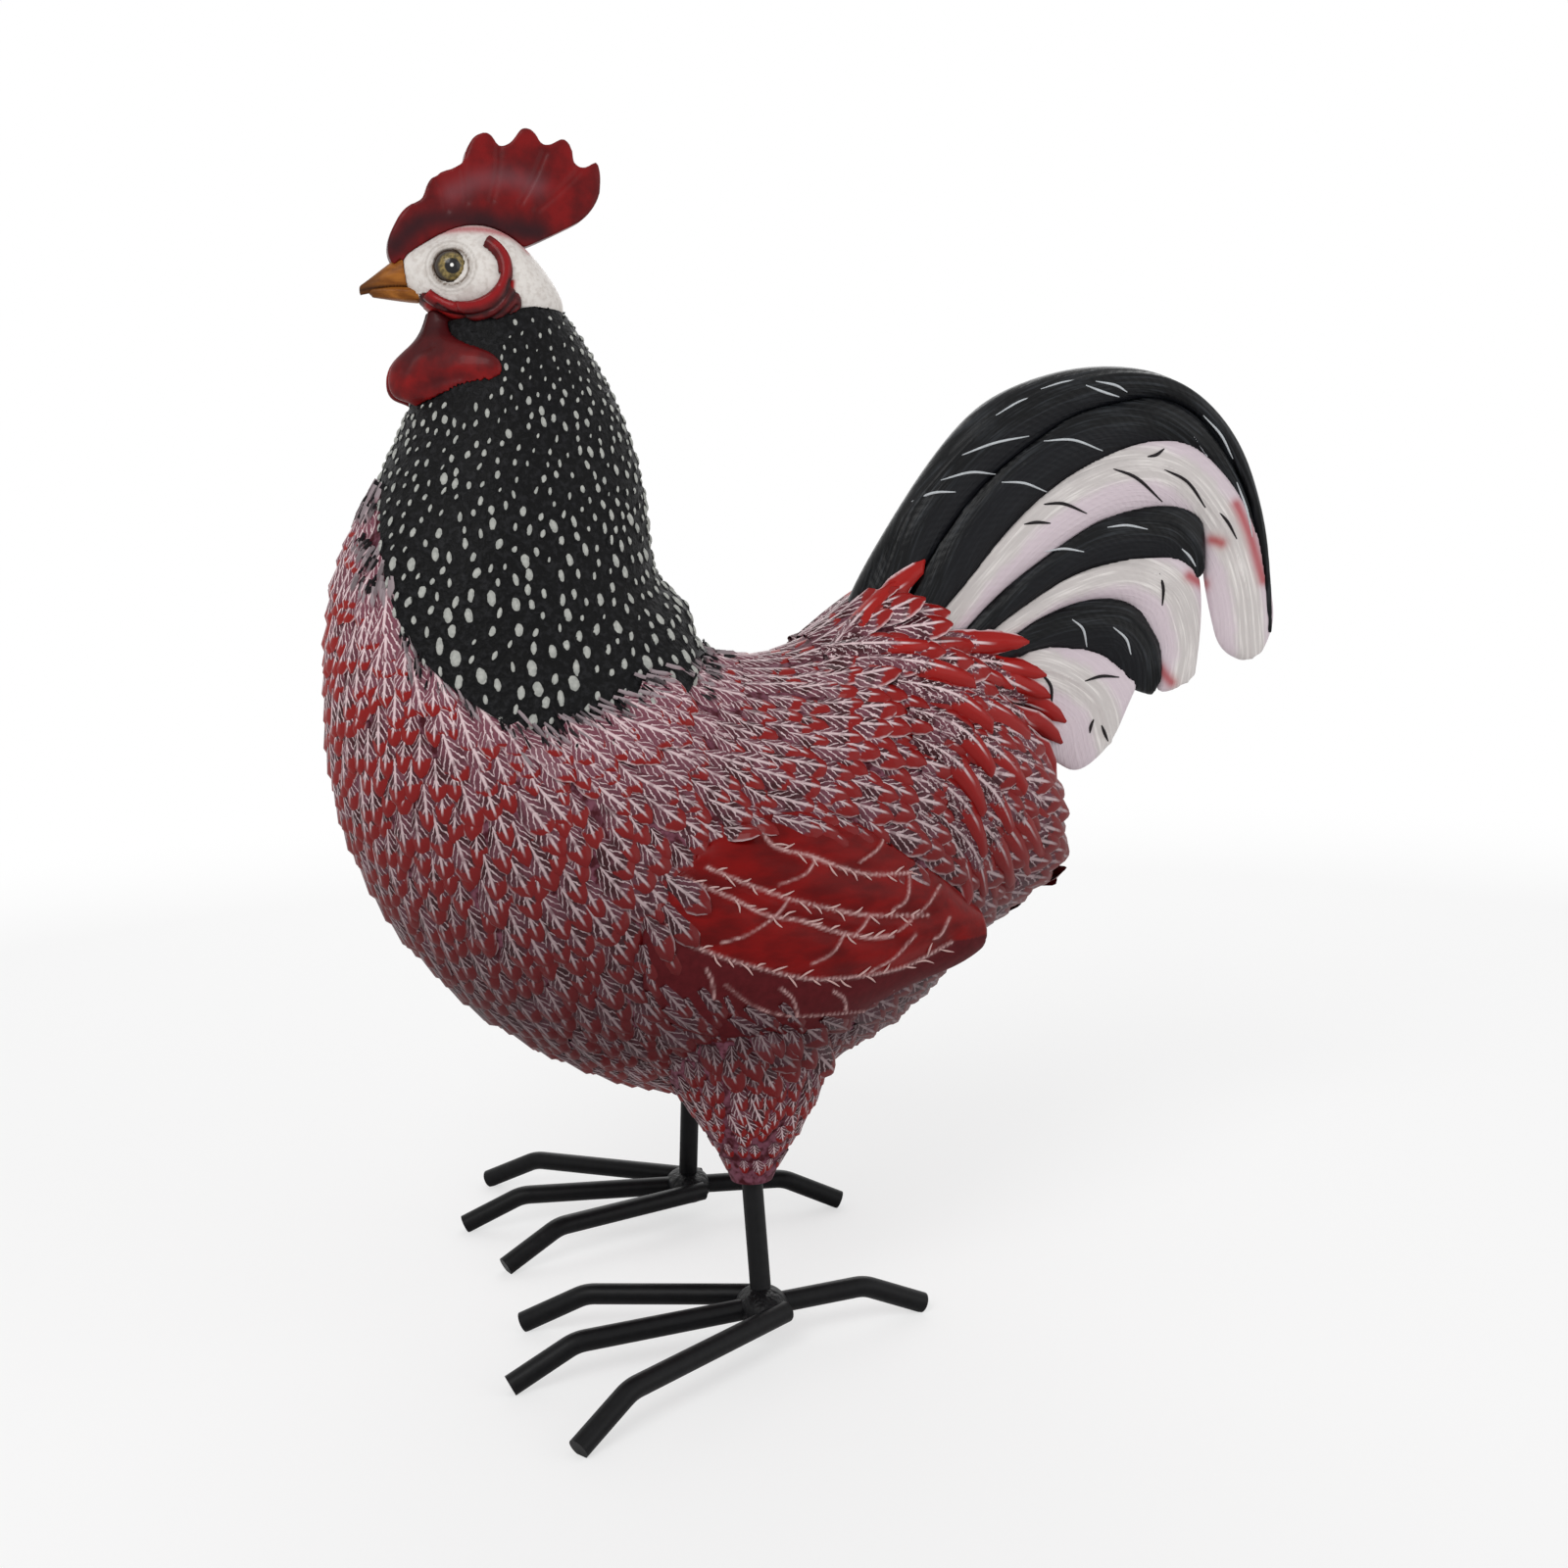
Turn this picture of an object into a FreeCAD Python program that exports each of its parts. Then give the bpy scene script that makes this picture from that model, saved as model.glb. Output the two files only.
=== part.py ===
import FreeCAD, Part
import math
import os

# A cast and painted rooster ornament that stands on two welded feet of bent steel rod.
# The bird looks along -X, its left side is -Y, and +Z is up. Lengths are in millimetres.
# Each casting is lofted through ribs, as a carver sets out a figure from its stations.

Vector = FreeCAD.Vector
doc = FreeCAD.newDocument("rooster_ornament")

# Driving dimensions. Heights are above the floor and distances forward or back are from the ankles.
DRIVING_SIZES = [
    ("belly_clearance", 63.0),
    ("body_length", 210.0),
    ("body_height", 143.0),
    ("body_width", 128.0),
    ("neck_height", 86.0),
    ("neck_depth", 95.0),
    ("neck_width", 86.0),
    ("cape_relief", 1.5),
    ("cape_margin", 20.0),
    ("head_length", 48.0),
    ("head_height", 33.0),
    ("head_width", 29.0),
    ("beak_length", 14.5),
    ("beak_height", 11.0),
    ("beak_width", 10.0),
    ("eye_radius", 5.0),
    ("eye_bulge", 1.6),
    ("ring_thickness", 4.2),
    ("lobe_length", 18.0),
    ("lobe_height", 12.0),
    ("lobe_thickness", 8.0),
    ("comb_length", 60.0),
    ("comb_height", 34.0),
    ("comb_thickness", 9.0),
    ("wattle_length", 29.0),
    ("wattle_drop", 27.0),
    ("wattle_thickness", 7.5),
    ("wing_length", 92.0),
    ("wing_height", 56.0),
    ("wing_thickness", 28.0),
    ("tail_length", 126.0),
    ("tail_height", 86.0),
    ("tail_thickness", 15.0),
    ("thigh_length", 50.0),
    ("thigh_depth", 60.0),
    ("thigh_width", 52.0),
    ("shank_height", 46.0),
    ("shank_spread", 42.0),
    ("ankle_spread", 50.5),
    ("rod_diameter", 6.0),
    ("rod_embed", 40.0),
    ("toe_axis_height", 11.0),
    ("toe_knuckle", 55.0),
    ("hind_knuckle", 32.0),
    ("toe_bend", 12.0),
    ("toe_drop_angle", 25.0),
    ("toe_spread_angle", 26.0),
    ("foot_turn_angle", 8.0),
    ("side_toe_setback", 4.5),
    ("side_toe_offset", 6.6),
    ("toe_flat", 0.5),
    ("weld_length", 15.0),
    ("weld_width", 19.0),
    ("weld_height", 11.0),
]

sheet = doc.addObject("Spreadsheet::Sheet", "sizes")
for row, (alias, value) in enumerate(DRIVING_SIZES, start=1):
    sheet.set(f"A{row}", alias)
    sheet.set(f"B{row}", str(value))
    sheet.setAlias(f"B{row}", alias)
doc.recompute()


def size(alias):
    """The number that the sheet holds under this alias."""
    return float(sheet.get(alias))


RIB_POLES = 12
POLE_REACH_SHARE = 3 / (2 + math.cos(2 * math.pi / RIB_POLES))
CURVE_DEGREE = 3
SIDE = Vector(0, 1, 0)


def middle(first, second):
    return (first + second) * 0.5


def rib_poles(back, front, half_width, fullness_share=0.0, side=SIDE):
    """Poles of one oval station that spans back to front and is half_width to each side."""
    centre = middle(back, front)
    half_depth = (front - back) * 0.5
    poles = []
    for step in range(RIB_POLES):
        turn = 2 * math.pi * step / RIB_POLES
        across = half_width * math.sin(turn) * (1 + fullness_share * math.cos(turn))
        reach = half_depth * math.cos(turn) + side * across
        poles.append(centre + reach * POLE_REACH_SHARE)
    return poles


def rib(name, back, front, half_width, side=SIDE):
    """One closed oval curve."""
    curve = Part.BSplineCurve()
    knots = list(range(RIB_POLES + 1))
    poles = rib_poles(back, front, half_width, side=side)
    curve.buildFromPolesMultsKnots(poles, [1] * len(knots), knots, True, CURVE_DEGREE)
    station = doc.addObject("Part::Feature", name)
    station.Shape = Part.Wire(curve.toShape())
    return station


def loft(name, stations):
    """A smooth solid through stations that stand side by side."""
    solid = doc.addObject("Part::Loft", name)
    solid.Sections = stations
    solid.Solid = True
    solid.Ruled = False
    return solid


def lengthwise(points, parameters):
    curve = Part.BSplineCurve()
    curve.interpolate(Points=points, Parameters=parameters)
    return curve


def skinned(name, spans, fullness_share):
    """A smooth solid over ribs that fan out, which a plain loft can't follow. A span is back, front, half width."""
    rows = [rib_poles(back, front, half_width, fullness_share) for back, front, half_width in spans]
    parameters = [0.0]
    for first, second in zip(spans, spans[1:]):
        step = middle(*second[:2]).distanceToPoint(middle(*first[:2]))
        parameters.append(parameters[-1] + step)
    columns = [lengthwise(list(column), parameters) for column in zip(*rows)]
    around_knots = list(range(RIB_POLES + 1))
    surface = Part.BSplineSurface()
    surface.buildFromPolesMultsKnots(
        [column.getPoles() for column in columns],
        [1] * len(around_knots),
        columns[0].getMultiplicities(),
        around_knots,
        columns[0].getKnots(),
        True,
        False,
        CURVE_DEGREE,
        columns[0].Degree,
    )
    side = surface.toShape()
    rims = [edge for edge in side.Edges if edge.isClosed()]
    caps = [Part.Face(Part.Wire(edge)) for edge in rims]
    shell = Part.Shell([side] + caps)
    shell.sewShape()
    body = doc.addObject("Part::Feature", name)
    body.Shape = Part.Solid(shell)
    return body


def cut(name, base, tool):
    result = doc.addObject("Part::Cut", name)
    result.Base = base
    result.Tool = tool
    return result


def common(name, base, tool):
    result = doc.addObject("Part::Common", name)
    result.Base = base
    result.Tool = tool
    return result


def fuse(name, *shapes):
    result = doc.addObject("Part::MultiFuse", name)
    result.Shapes = list(shapes)
    return result


def mirrored(name, source):
    """The same piece on the bird's other side."""
    twin = doc.addObject("Part::Mirroring", name)
    twin.Source = source
    twin.Normal = SIDE
    return twin


def spline_edge(points):
    curve = Part.BSplineCurve()
    curve.interpolate(Points=points)
    return curve.toShape()


def slab(name, edges, half_width):
    """A flat outline carried across the bird by half_width to each side."""
    outline = Part.Face(Part.Wire(edges))
    outline.translate(SIDE * -half_width)
    plate = doc.addObject("Part::Feature", name)
    plate.Shape = outline.extrude(SIDE * half_width * 2)
    return plate


# Body and neck. Each body rib is back x and z, belly x and z, and half width, as shares of the body's
# length, height and width. Each neck rib is the same, as shares of the neck's depth, height and width
# from the nape of the shoulders.
BODY_RIB_SHARES = [
    (0.390, 0.900, 0.505, 0.600, 0.085),
    (0.310, 0.978, 0.515, 0.480, 0.185),
    (0.219, 1.006, 0.402, 0.308, 0.297),
    (0.138, 0.923, 0.271, 0.157, 0.406),
    (0.071, 0.895, 0.105, 0.028, 0.477),
    (0.014, 0.902, -0.076, 0.014, 0.500),
    (-0.019, 0.930, -0.257, 0.119, 0.492),
    (-0.029, 0.972, -0.414, 0.329, 0.453),
    (-0.038, 1.014, -0.500, 0.584, 0.391),
]
NECK_RIB_SHARES = [
    (-0.080, 0.100, -1.060, -0.244, 0.500),
    (-0.105, 0.291, -0.990, 0.174, 0.419),
    (-0.147, 0.547, -0.840, 0.488, 0.314),
    (-0.235, 0.779, -0.735, 0.735, 0.225),
    (-0.347, 0.980, -0.664, 0.926, 0.155),
]
BODY_FULLNESS_SHARE = 0.12


def body_point(x_share, z_share):
    return Vector(
        x_share * size("body_length"), 0, size("belly_clearance") + z_share * size("body_height")
    )


def neck_point(x_share, z_share):
    root = body_point(*BODY_RIB_SHARES[-1][:2])
    return root + Vector(x_share * size("neck_depth"), 0, z_share * size("neck_height"))


def torso_spans(relief):
    """The ribs of body and neck together, all grown outwards by relief."""
    spans = []
    for back_x, back_z, front_x, front_z, width in BODY_RIB_SHARES:
        spans.append((body_point(back_x, back_z), body_point(front_x, front_z), width * size("body_width")))
    for back_x, back_z, front_x, front_z, width in NECK_RIB_SHARES:
        spans.append((neck_point(back_x, back_z), neck_point(front_x, front_z), width * size("neck_width")))
    grown = []
    for back, front, half_width in spans:
        outward = Vector(front - back).normalize() * relief
        grown.append((back - outward, front + outward, half_width + relief))
    return grown


torso = skinned("torso", torso_spans(0.0), BODY_FULLNESS_SHARE)
plumage = skinned("plumage", torso_spans(size("cape_relief")), BODY_FULLNESS_SHARE)

# The lower edge of the spotted cape, from the throat round to the back of the shoulders.
CAPE_EDGE_SHARES = [
    (-0.83, 0.66),
    (-0.88, 0.40),
    (-0.89, 0.10),
    (-0.82, -0.10),
    (-0.62, -0.30),
    (-0.40, -0.41),
    (-0.20, -0.36),
    (0.03, -0.16),
]


def cape_region():
    """A thick slab, across the whole width, that holds the neck and ends at the cape's edge."""
    edge_points = [neck_point(x, z) for x, z in CAPE_EDGE_SHARES]
    margin = size("cape_margin")
    throat = edge_points[0] + Vector(0, 0, size("neck_height") * 0.5)
    top_back = Vector(edge_points[-1].x + margin, 0, throat.z)
    low_back = Vector(top_back.x, 0, edge_points[-1].z)
    sides = Part.makePolygon([edge_points[-1], low_back, top_back, throat, edge_points[0]])
    return slab("cape_region", [spline_edge(edge_points)] + sides.Edges, size("body_width"))


cape_cutter = cape_region()

# Head. Each rib is x, top z, bottom z and half width, as shares of the head's length, height and width
# from the middle of the neck's top.
HEAD_RIB_SHARES = [
    (-0.54, 0.47, 0.27, 0.15),
    (-0.47, 0.55, 0.11, 0.26),
    (-0.38, 0.62, 0.00, 0.36),
    (-0.25, 0.71, -0.16, 0.45),
    (-0.02, 0.71, -0.26, 0.50),
    (0.16, 0.54, -0.22, 0.45),
    (0.28, 0.33, -0.14, 0.32),
    (0.36, 0.12, -0.06, 0.16),
]


def head_point(x_share, z_share):
    back_x, back_z, front_x, front_z, _ = NECK_RIB_SHARES[-1]
    base = middle(neck_point(back_x, back_z), neck_point(front_x, front_z))
    return base + Vector(x_share * size("head_length"), 0, z_share * size("head_height"))


head_stations = [
    rib(f"head_rib_{number}", head_point(x, top), head_point(x, low), width * size("head_width"))
    for number, (x, top, low, width) in enumerate(HEAD_RIB_SHARES)
]
skull = loft("skull", head_stations)

EYE_PLACE_SHARES = (-0.285, 0.360)
FAR_SHARE = 2.0


def flank(piece, x, z):
    """Where a level line across the bird first meets this piece on the left."""
    far = FAR_SHARE * size("body_width")
    ray = Part.makeLine(Vector(x, -far, z), Vector(x, 0, z))
    return Vector(x, piece.Shape.common(ray).BoundBox.YMin, z)


doc.recompute()


def eye_ball():
    """A round eye that stands out of the head by its bulge."""
    ball = doc.addObject("Part::Sphere", "left_eye_ball")
    ball.setExpression("Radius", "sizes.eye_radius")
    place = head_point(*EYE_PLACE_SHARES)
    surface = flank(skull, place.x, place.z)
    inset = SIDE * (size("eye_radius") - size("eye_bulge"))
    ball.Placement = FreeCAD.Placement(surface + inset, FreeCAD.Rotation())
    return ball


left_eye = eye_ball()
right_eye = mirrored("right_eye_ball", left_eye)
head = cut("head_sockets", cut("head_left_socket", skull, left_eye), right_eye)
neck_block = common("neck_block", plumage, cape_cutter)
neck = cut("neck", neck_block, skull)


def sweep(name, path, radius_rule):
    """A round rod along a path. The rule is an expression for its radius."""
    spine = doc.addObject("Part::Feature", name + "_path")
    spine.Shape = path
    profile = doc.addObject("Part::Circle", name + "_profile")
    profile.setExpression("Radius", radius_rule)
    first = path.Edges[0]
    heading = first.tangentAt(first.FirstParameter)
    turn = FreeCAD.Rotation(Vector(0, 0, 1), heading)
    profile.Placement = FreeCAD.Placement(first.valueAt(first.FirstParameter), turn)
    rod = doc.addObject("Part::Sweep", name)
    rod.Sections = [profile]
    rod.Spine = (spine, [f"Edge{number + 1}" for number in range(len(path.Edges))])
    rod.Solid = True
    rod.Frenet = False
    return rod


# Red face ring: a ridge of skin under and behind the eye, with a fold that hangs at its lower rear.
RING_PATH_SHARES = [
    (-0.420, 0.160),
    (-0.365, 0.095),
    (-0.265, 0.030),
    (-0.145, 0.030),
    (-0.055, 0.100),
    (0.000, 0.240),
    (0.005, 0.390),
    (-0.035, 0.500),
    (-0.085, 0.560),
]
LOBE_PLACE_SHARES = (-0.09, 0.07)


def face_ring():
    points = []
    for x_share, z_share in RING_PATH_SHARES:
        place = head_point(x_share, z_share)
        points.append(flank(skull, place.x, place.z))
    ridge = sweep("left_ring_ridge", Part.Wire(spline_edge(points)), "sizes.ring_thickness / 2")
    lobe = doc.addObject("Part::Ellipsoid", "left_ring_lobe")
    lobe.setExpression("Radius1", "sizes.lobe_height / 2")
    lobe.setExpression("Radius2", "sizes.lobe_length / 2")
    lobe.setExpression("Radius3", "sizes.lobe_thickness / 2")
    place = head_point(*LOBE_PLACE_SHARES)
    lobe.Placement = FreeCAD.Placement(flank(skull, place.x, place.z), FreeCAD.Rotation())
    return fuse("left_ring_skin", ridge, lobe)


ring_off_head = cut("ring_off_head", face_ring(), skull)
left_ring = cut("left_ring", ring_off_head, neck_block)
right_ring = mirrored("right_ring", left_ring)

# Beak. Ribs run forward from the face: x, mouth z, outer z and half width as shares of the beak's sizes.
UPPER_BEAK_SHARES = [
    (0.45, -0.42, 0.62, 0.50),
    (-0.10, -0.44, 0.50, 0.48),
    (-0.45, -0.44, 0.22, 0.36),
    (-0.80, -0.48, -0.12, 0.20),
    (-1.00, -0.54, -0.30, 0.07),
]
LOWER_BEAK_SHARES = [
    (0.45, -0.43, -0.74, 0.42),
    (-0.10, -0.45, -0.70, 0.37),
    (-0.45, -0.45, -0.64, 0.26),
    (-0.78, -0.49, -0.58, 0.11),
]
BEAK_SEAT_SHARES = (-0.49, 0.335)


def beak_half(name, shares):
    seat = head_point(*BEAK_SEAT_SHARES)
    stations = []
    for number, (x, mouth, outer, width) in enumerate(shares):
        line = seat + Vector(x * size("beak_length"), 0, 0)
        inner_point = line + Vector(0, 0, mouth * size("beak_height"))
        outer_point = line + Vector(0, 0, outer * size("beak_height"))
        stations.append(rib(f"{name}_rib_{number}", inner_point, outer_point, width * size("beak_width")))
    return loft(name, stations)


upper_block = beak_half("upper_block", UPPER_BEAK_SHARES)
lower_block = beak_half("lower_block", LOWER_BEAK_SHARES)
upper_beak = cut("upper_on_head", upper_block, skull)
lower_beak = cut("lower_on_head", lower_block, skull)

# Comb. Its crest and keel are curves through shares of its length and height from the head's crown.
COMB_CREST_SHARES = [
    (-0.430, -0.14),
    (-0.475, 0.05),
    (-0.435, 0.24),
    (-0.365, 0.38),
    (-0.310, 0.43),
    (-0.275, 0.56),
    (-0.215, 0.64),
    (-0.150, 0.68),
    (-0.090, 0.84),
    (-0.040, 0.94),
    (0.015, 0.94),
    (0.050, 0.86),
    (0.105, 0.88),
    (0.175, 1.00),
    (0.225, 0.95),
    (0.250, 0.88),
    (0.300, 0.88),
    (0.350, 0.92),
    (0.390, 0.84),
    (0.400, 0.73),
    (0.450, 0.70),
    (0.500, 0.74),
    (0.520, 0.60),
    (0.480, 0.38),
    (0.400, 0.25),
]
COMB_KEEL_SHARES = [
    (0.400, 0.25),
    (0.280, 0.15),
    (0.160, 0.06),
    (-0.050, -0.06),
    (-0.300, -0.20),
    (-0.430, -0.14),
]
COMB_SEAT_SHARES = (-0.032, 0.49)
COMB_SWELL_SHARES = (0.70, 1.30)


def comb_point(x_share, z_share):
    seat = head_point(*COMB_SEAT_SHARES)
    return seat + Vector(x_share * size("comb_length"), 0, z_share * size("comb_height"))


def comb_blade():
    """The comb's outline through a lens, so that it is thick in the middle and thin at its teeth."""
    edges = [
        spline_edge([comb_point(x, z) for x, z in shares]) for shares in (COMB_CREST_SHARES, COMB_KEEL_SHARES)
    ]
    plate = slab("comb_plate", edges, size("comb_thickness"))
    lens = doc.addObject("Part::Ellipsoid", "comb_lens")
    along_share, up_share = COMB_SWELL_SHARES
    lens.setExpression("Radius1", f"sizes.comb_height * {up_share}")
    lens.setExpression("Radius2", f"sizes.comb_length * {along_share}")
    lens.setExpression("Radius3", "sizes.comb_thickness / 2")
    lens.Placement = FreeCAD.Placement(comb_point(0, 0), FreeCAD.Rotation())
    return common("comb_blade", plate, lens)


comb = cut("comb_off_beak", cut("comb_on_head", comb_blade(), skull), upper_beak)

# Wattles. Ribs run down from the jaw: front x, rear x, z, front y, rear y and half thickness as shares.
WATTLE_RIB_SHARES = [
    (-0.16, 0.10, 0.30, -0.12, -0.16, 0.26),
    (-0.22, 0.12, 0.12, -0.13, -0.26, 0.34),
    (-0.36, 0.24, -0.06, -0.14, -0.52, 0.42),
    (-0.54, 0.44, -0.28, -0.15, -0.72, 0.50),
    (-0.56, 0.38, -0.48, -0.18, -0.68, 0.50),
    (-0.46, 0.14, -0.60, -0.22, -0.52, 0.40),
    (-0.34, -0.02, -0.66, -0.26, -0.40, 0.20),
]
WATTLE_SEAT_SHARES = (-0.32, -0.22)


def wattle_lobe():
    seat = head_point(*WATTLE_SEAT_SHARES)
    length = size("wattle_length")
    stations = []
    for number, (front_x, rear_x, z, front_y, rear_y, thickness) in enumerate(WATTLE_RIB_SHARES):
        level = seat + Vector(0, 0, z * size("wattle_drop"))
        front = level + Vector(front_x * length, front_y * length, 0)
        rear = level + Vector(rear_x * length, rear_y * length, 0)
        aside = Vector(0, 0, 1).cross(rear - front).normalize()
        half_width = thickness * size("wattle_thickness")
        stations.append(rib(f"wattle_rib_{number}", front, rear, half_width, aside))
    return loft("wattle_lobe", stations[::-1])


wattle_off_head = cut("wattle_off_head", wattle_lobe(), skull)
wattle_off_neck = cut("wattle_off_neck", wattle_off_head, neck_block)
left_wattle = cut("left_wattle", wattle_off_neck, left_ring)
right_wattle = mirrored("right_wattle", left_wattle)

# Wing. Ribs run from the shoulder to the tip: x, top z, bottom z, side y and half thickness as shares.
WING_RIB_SHARES = [
    (-0.36, 0.10, -0.24, 0.462, 0.20),
    (-0.26, 0.38, -0.46, 0.435, 0.44),
    (-0.02, 0.56, -0.60, 0.405, 0.56),
    (0.20, 0.56, -0.60, 0.385, 0.56),
    (0.44, 0.42, -0.46, 0.350, 0.48),
    (0.62, 0.16, -0.39, 0.310, 0.40),
    (0.77, -0.08, -0.30, 0.275, 0.30),
]
WING_HEIGHT_SHARE = 0.42


def wing_panel():
    level = size("belly_clearance") + WING_HEIGHT_SHARE * size("body_height")
    stations = []
    for number, (x, top, low, side, thickness) in enumerate(WING_RIB_SHARES):
        line = Vector(x * size("wing_length"), -side * size("body_width"), level)
        upper = line + Vector(0, 0, top * size("wing_height"))
        lower = line + Vector(0, 0, low * size("wing_height"))
        stations.append(rib(f"wing_rib_{number}", upper, lower, thickness * size("wing_thickness")))
    return loft("wing_panel", stations)


# Thighs. Ribs run down from inside the body: z above the shank, x, half depth, side y and half width.
THIGH_RIB_SHARES = [
    (1.00, 0.00, 0.50, 0.78, 0.50),
    (0.68, 0.00, 0.41, 0.82, 0.44),
    (0.44, 0.02, 0.31, 0.88, 0.34),
    (0.24, 0.02, 0.21, 0.93, 0.23),
    (0.10, 0.01, 0.14, 0.97, 0.15),
    (0.00, 0.00, 0.10, 1.00, 0.11),
]


def thigh():
    stations = []
    for number, (z, x, half_depth, side, half_width) in enumerate(THIGH_RIB_SHARES):
        level = size("shank_height") + z * size("thigh_length")
        centre = Vector(x * size("thigh_depth"), -side * size("shank_spread"), level)
        reach = Vector(half_depth * size("thigh_depth"), 0, 0)
        stations.append(
            rib(f"thigh_rib_{number}", centre + reach, centre - reach, half_width * size("thigh_width"))
        )
    return loft("left_thigh", stations)


left_thigh = thigh()
wing_off_body = cut("wing_off_body", wing_panel(), torso)
left_wing = cut("wing_off_thigh", wing_off_body, left_thigh)

# Legs and feet. A foot is set out about its ankle: back is u, outwards is v, and it is turned outwards.
def ankle():
    return Vector(0, -size("ankle_spread"), size("toe_axis_height"))


def foot_point(back, outwards, height):
    """A place on the left foot, turned about the ankle."""
    turn = math.radians(size("foot_turn_angle"))
    heading = Vector(math.cos(turn), math.sin(turn), 0)
    aside = Vector(math.sin(turn), -math.cos(turn), 0)
    base = ankle()
    return Vector(base.x, base.y, 0) + heading * back + aside * outwards + Vector(0, 0, height)


def bent_path(corners):
    """Straight runs joined by arcs of the toe's bend radius."""
    radius = size("toe_bend")
    edges = []
    start = corners[0]
    for before, corner, after in zip(corners, corners[1:], corners[2:]):
        inward = Vector(before - corner).normalize()
        outward = Vector(after - corner).normalize()
        half_turn = (math.pi - inward.getAngle(outward)) / 2
        setback = radius * math.tan(half_turn)
        apex = radius / math.cos(half_turn) - radius
        crown = corner + Vector(inward + outward).normalize() * apex
        entry = corner + inward * setback
        leave = corner + outward * setback
        edges.append(Part.makeLine(start, entry))
        edges.append(Part.Arc(entry, crown, leave).toShape())
        start = leave
    edges.append(Part.makeLine(start, corners[-1]))
    return Part.Wire(edges)


def drop_reach():
    """How far past its knuckle a toe runs before its cut end touches the floor, and the height it ends at."""
    angle = math.radians(size("toe_drop_angle"))
    end_height = size("rod_diameter") / 2 * math.cos(angle) - size("toe_flat")
    return (size("toe_axis_height") - end_height) / math.tan(angle), end_height


ROD_RADIUS_RULE = "sizes.rod_diameter / 2"
OUTER_TOE_SHARE = 1.11
INNER_TOE_SHARE = 0.96


def middle_toe():
    """The long rod that is the middle toe, passes under the leg and ends as the hind toe."""
    run, end_height = drop_reach()
    height = size("toe_axis_height")
    front = size("toe_knuckle")
    hind = size("hind_knuckle")
    corners = [
        foot_point(-front - run, 0, end_height),
        foot_point(-front, 0, height),
        foot_point(hind, 0, height),
        foot_point(hind + run, 0, end_height),
    ]
    return sweep("middle_toe", bent_path(corners), ROD_RADIUS_RULE)


def side_toe(name, side_sign, length_share):
    """A shorter rod welded beside the middle one. side_sign is +1 for the outer toe."""
    run, end_height = drop_reach()
    height = size("toe_axis_height")
    spread = math.radians(size("toe_spread_angle"))
    knuckle = size("toe_knuckle") * length_share

    def along(distance, z):
        back = size("side_toe_setback") - distance * math.cos(spread)
        outwards = size("side_toe_offset") + distance * math.sin(spread)
        return foot_point(back, side_sign * outwards, z)

    corners = [along(0, height), along(knuckle, height), along(knuckle + run, end_height)]
    return sweep(name, bent_path(corners), ROD_RADIUS_RULE)


def leg_rod():
    """A straight rod from the ankle up through the thigh."""
    foot = ankle()
    top = Vector(0, -size("shank_spread"), size("shank_height"))
    slope = Vector(top - foot).normalize()
    path = Part.Wire(Part.makeLine(foot, top + slope * size("rod_embed")))
    return sweep("leg_run", path, ROD_RADIUS_RULE)


def floor_slab():
    """Everything below the floor, for cutting the flats that the toes stand on."""
    ground = doc.addObject("Part::Box", "below_floor")
    ground.setExpression("Length", "sizes.body_length * 2")
    ground.setExpression("Width", "sizes.body_length * 2")
    ground.setExpression("Height", "sizes.toe_axis_height")
    reach = size("body_length")
    ground.Placement = FreeCAD.Placement(Vector(-reach, -reach, -size("toe_axis_height")), FreeCAD.Rotation())
    return ground


def weld_bead():
    bead = doc.addObject("Part::Ellipsoid", "weld_bead")
    bead.setExpression("Radius1", "sizes.weld_height / 2")
    bead.setExpression("Radius2", "sizes.weld_length / 2")
    bead.setExpression("Radius3", "sizes.weld_width / 2")
    bead.Placement = FreeCAD.Placement(ankle(), FreeCAD.Rotation())
    return bead


ground = floor_slab()
left_middle_toe = cut("left_middle_toe_cut", middle_toe(), ground)
left_inner_toe = cut("left_inner_toe_cut", side_toe("inner_toe", -1, INNER_TOE_SHARE), ground)
left_outer_toe = cut("left_outer_toe_cut", side_toe("outer_toe", 1, OUTER_TOE_SHARE), ground)
left_leg = cut("left_leg_cut", leg_rod(), left_middle_toe)
foot_rods = fuse("left_foot_rods", left_middle_toe, left_inner_toe, left_outer_toe, left_leg)
left_weld = cut("left_weld_cut", weld_bead(), foot_rods)
right_leg = mirrored("right_leg_rod", left_leg)

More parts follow.
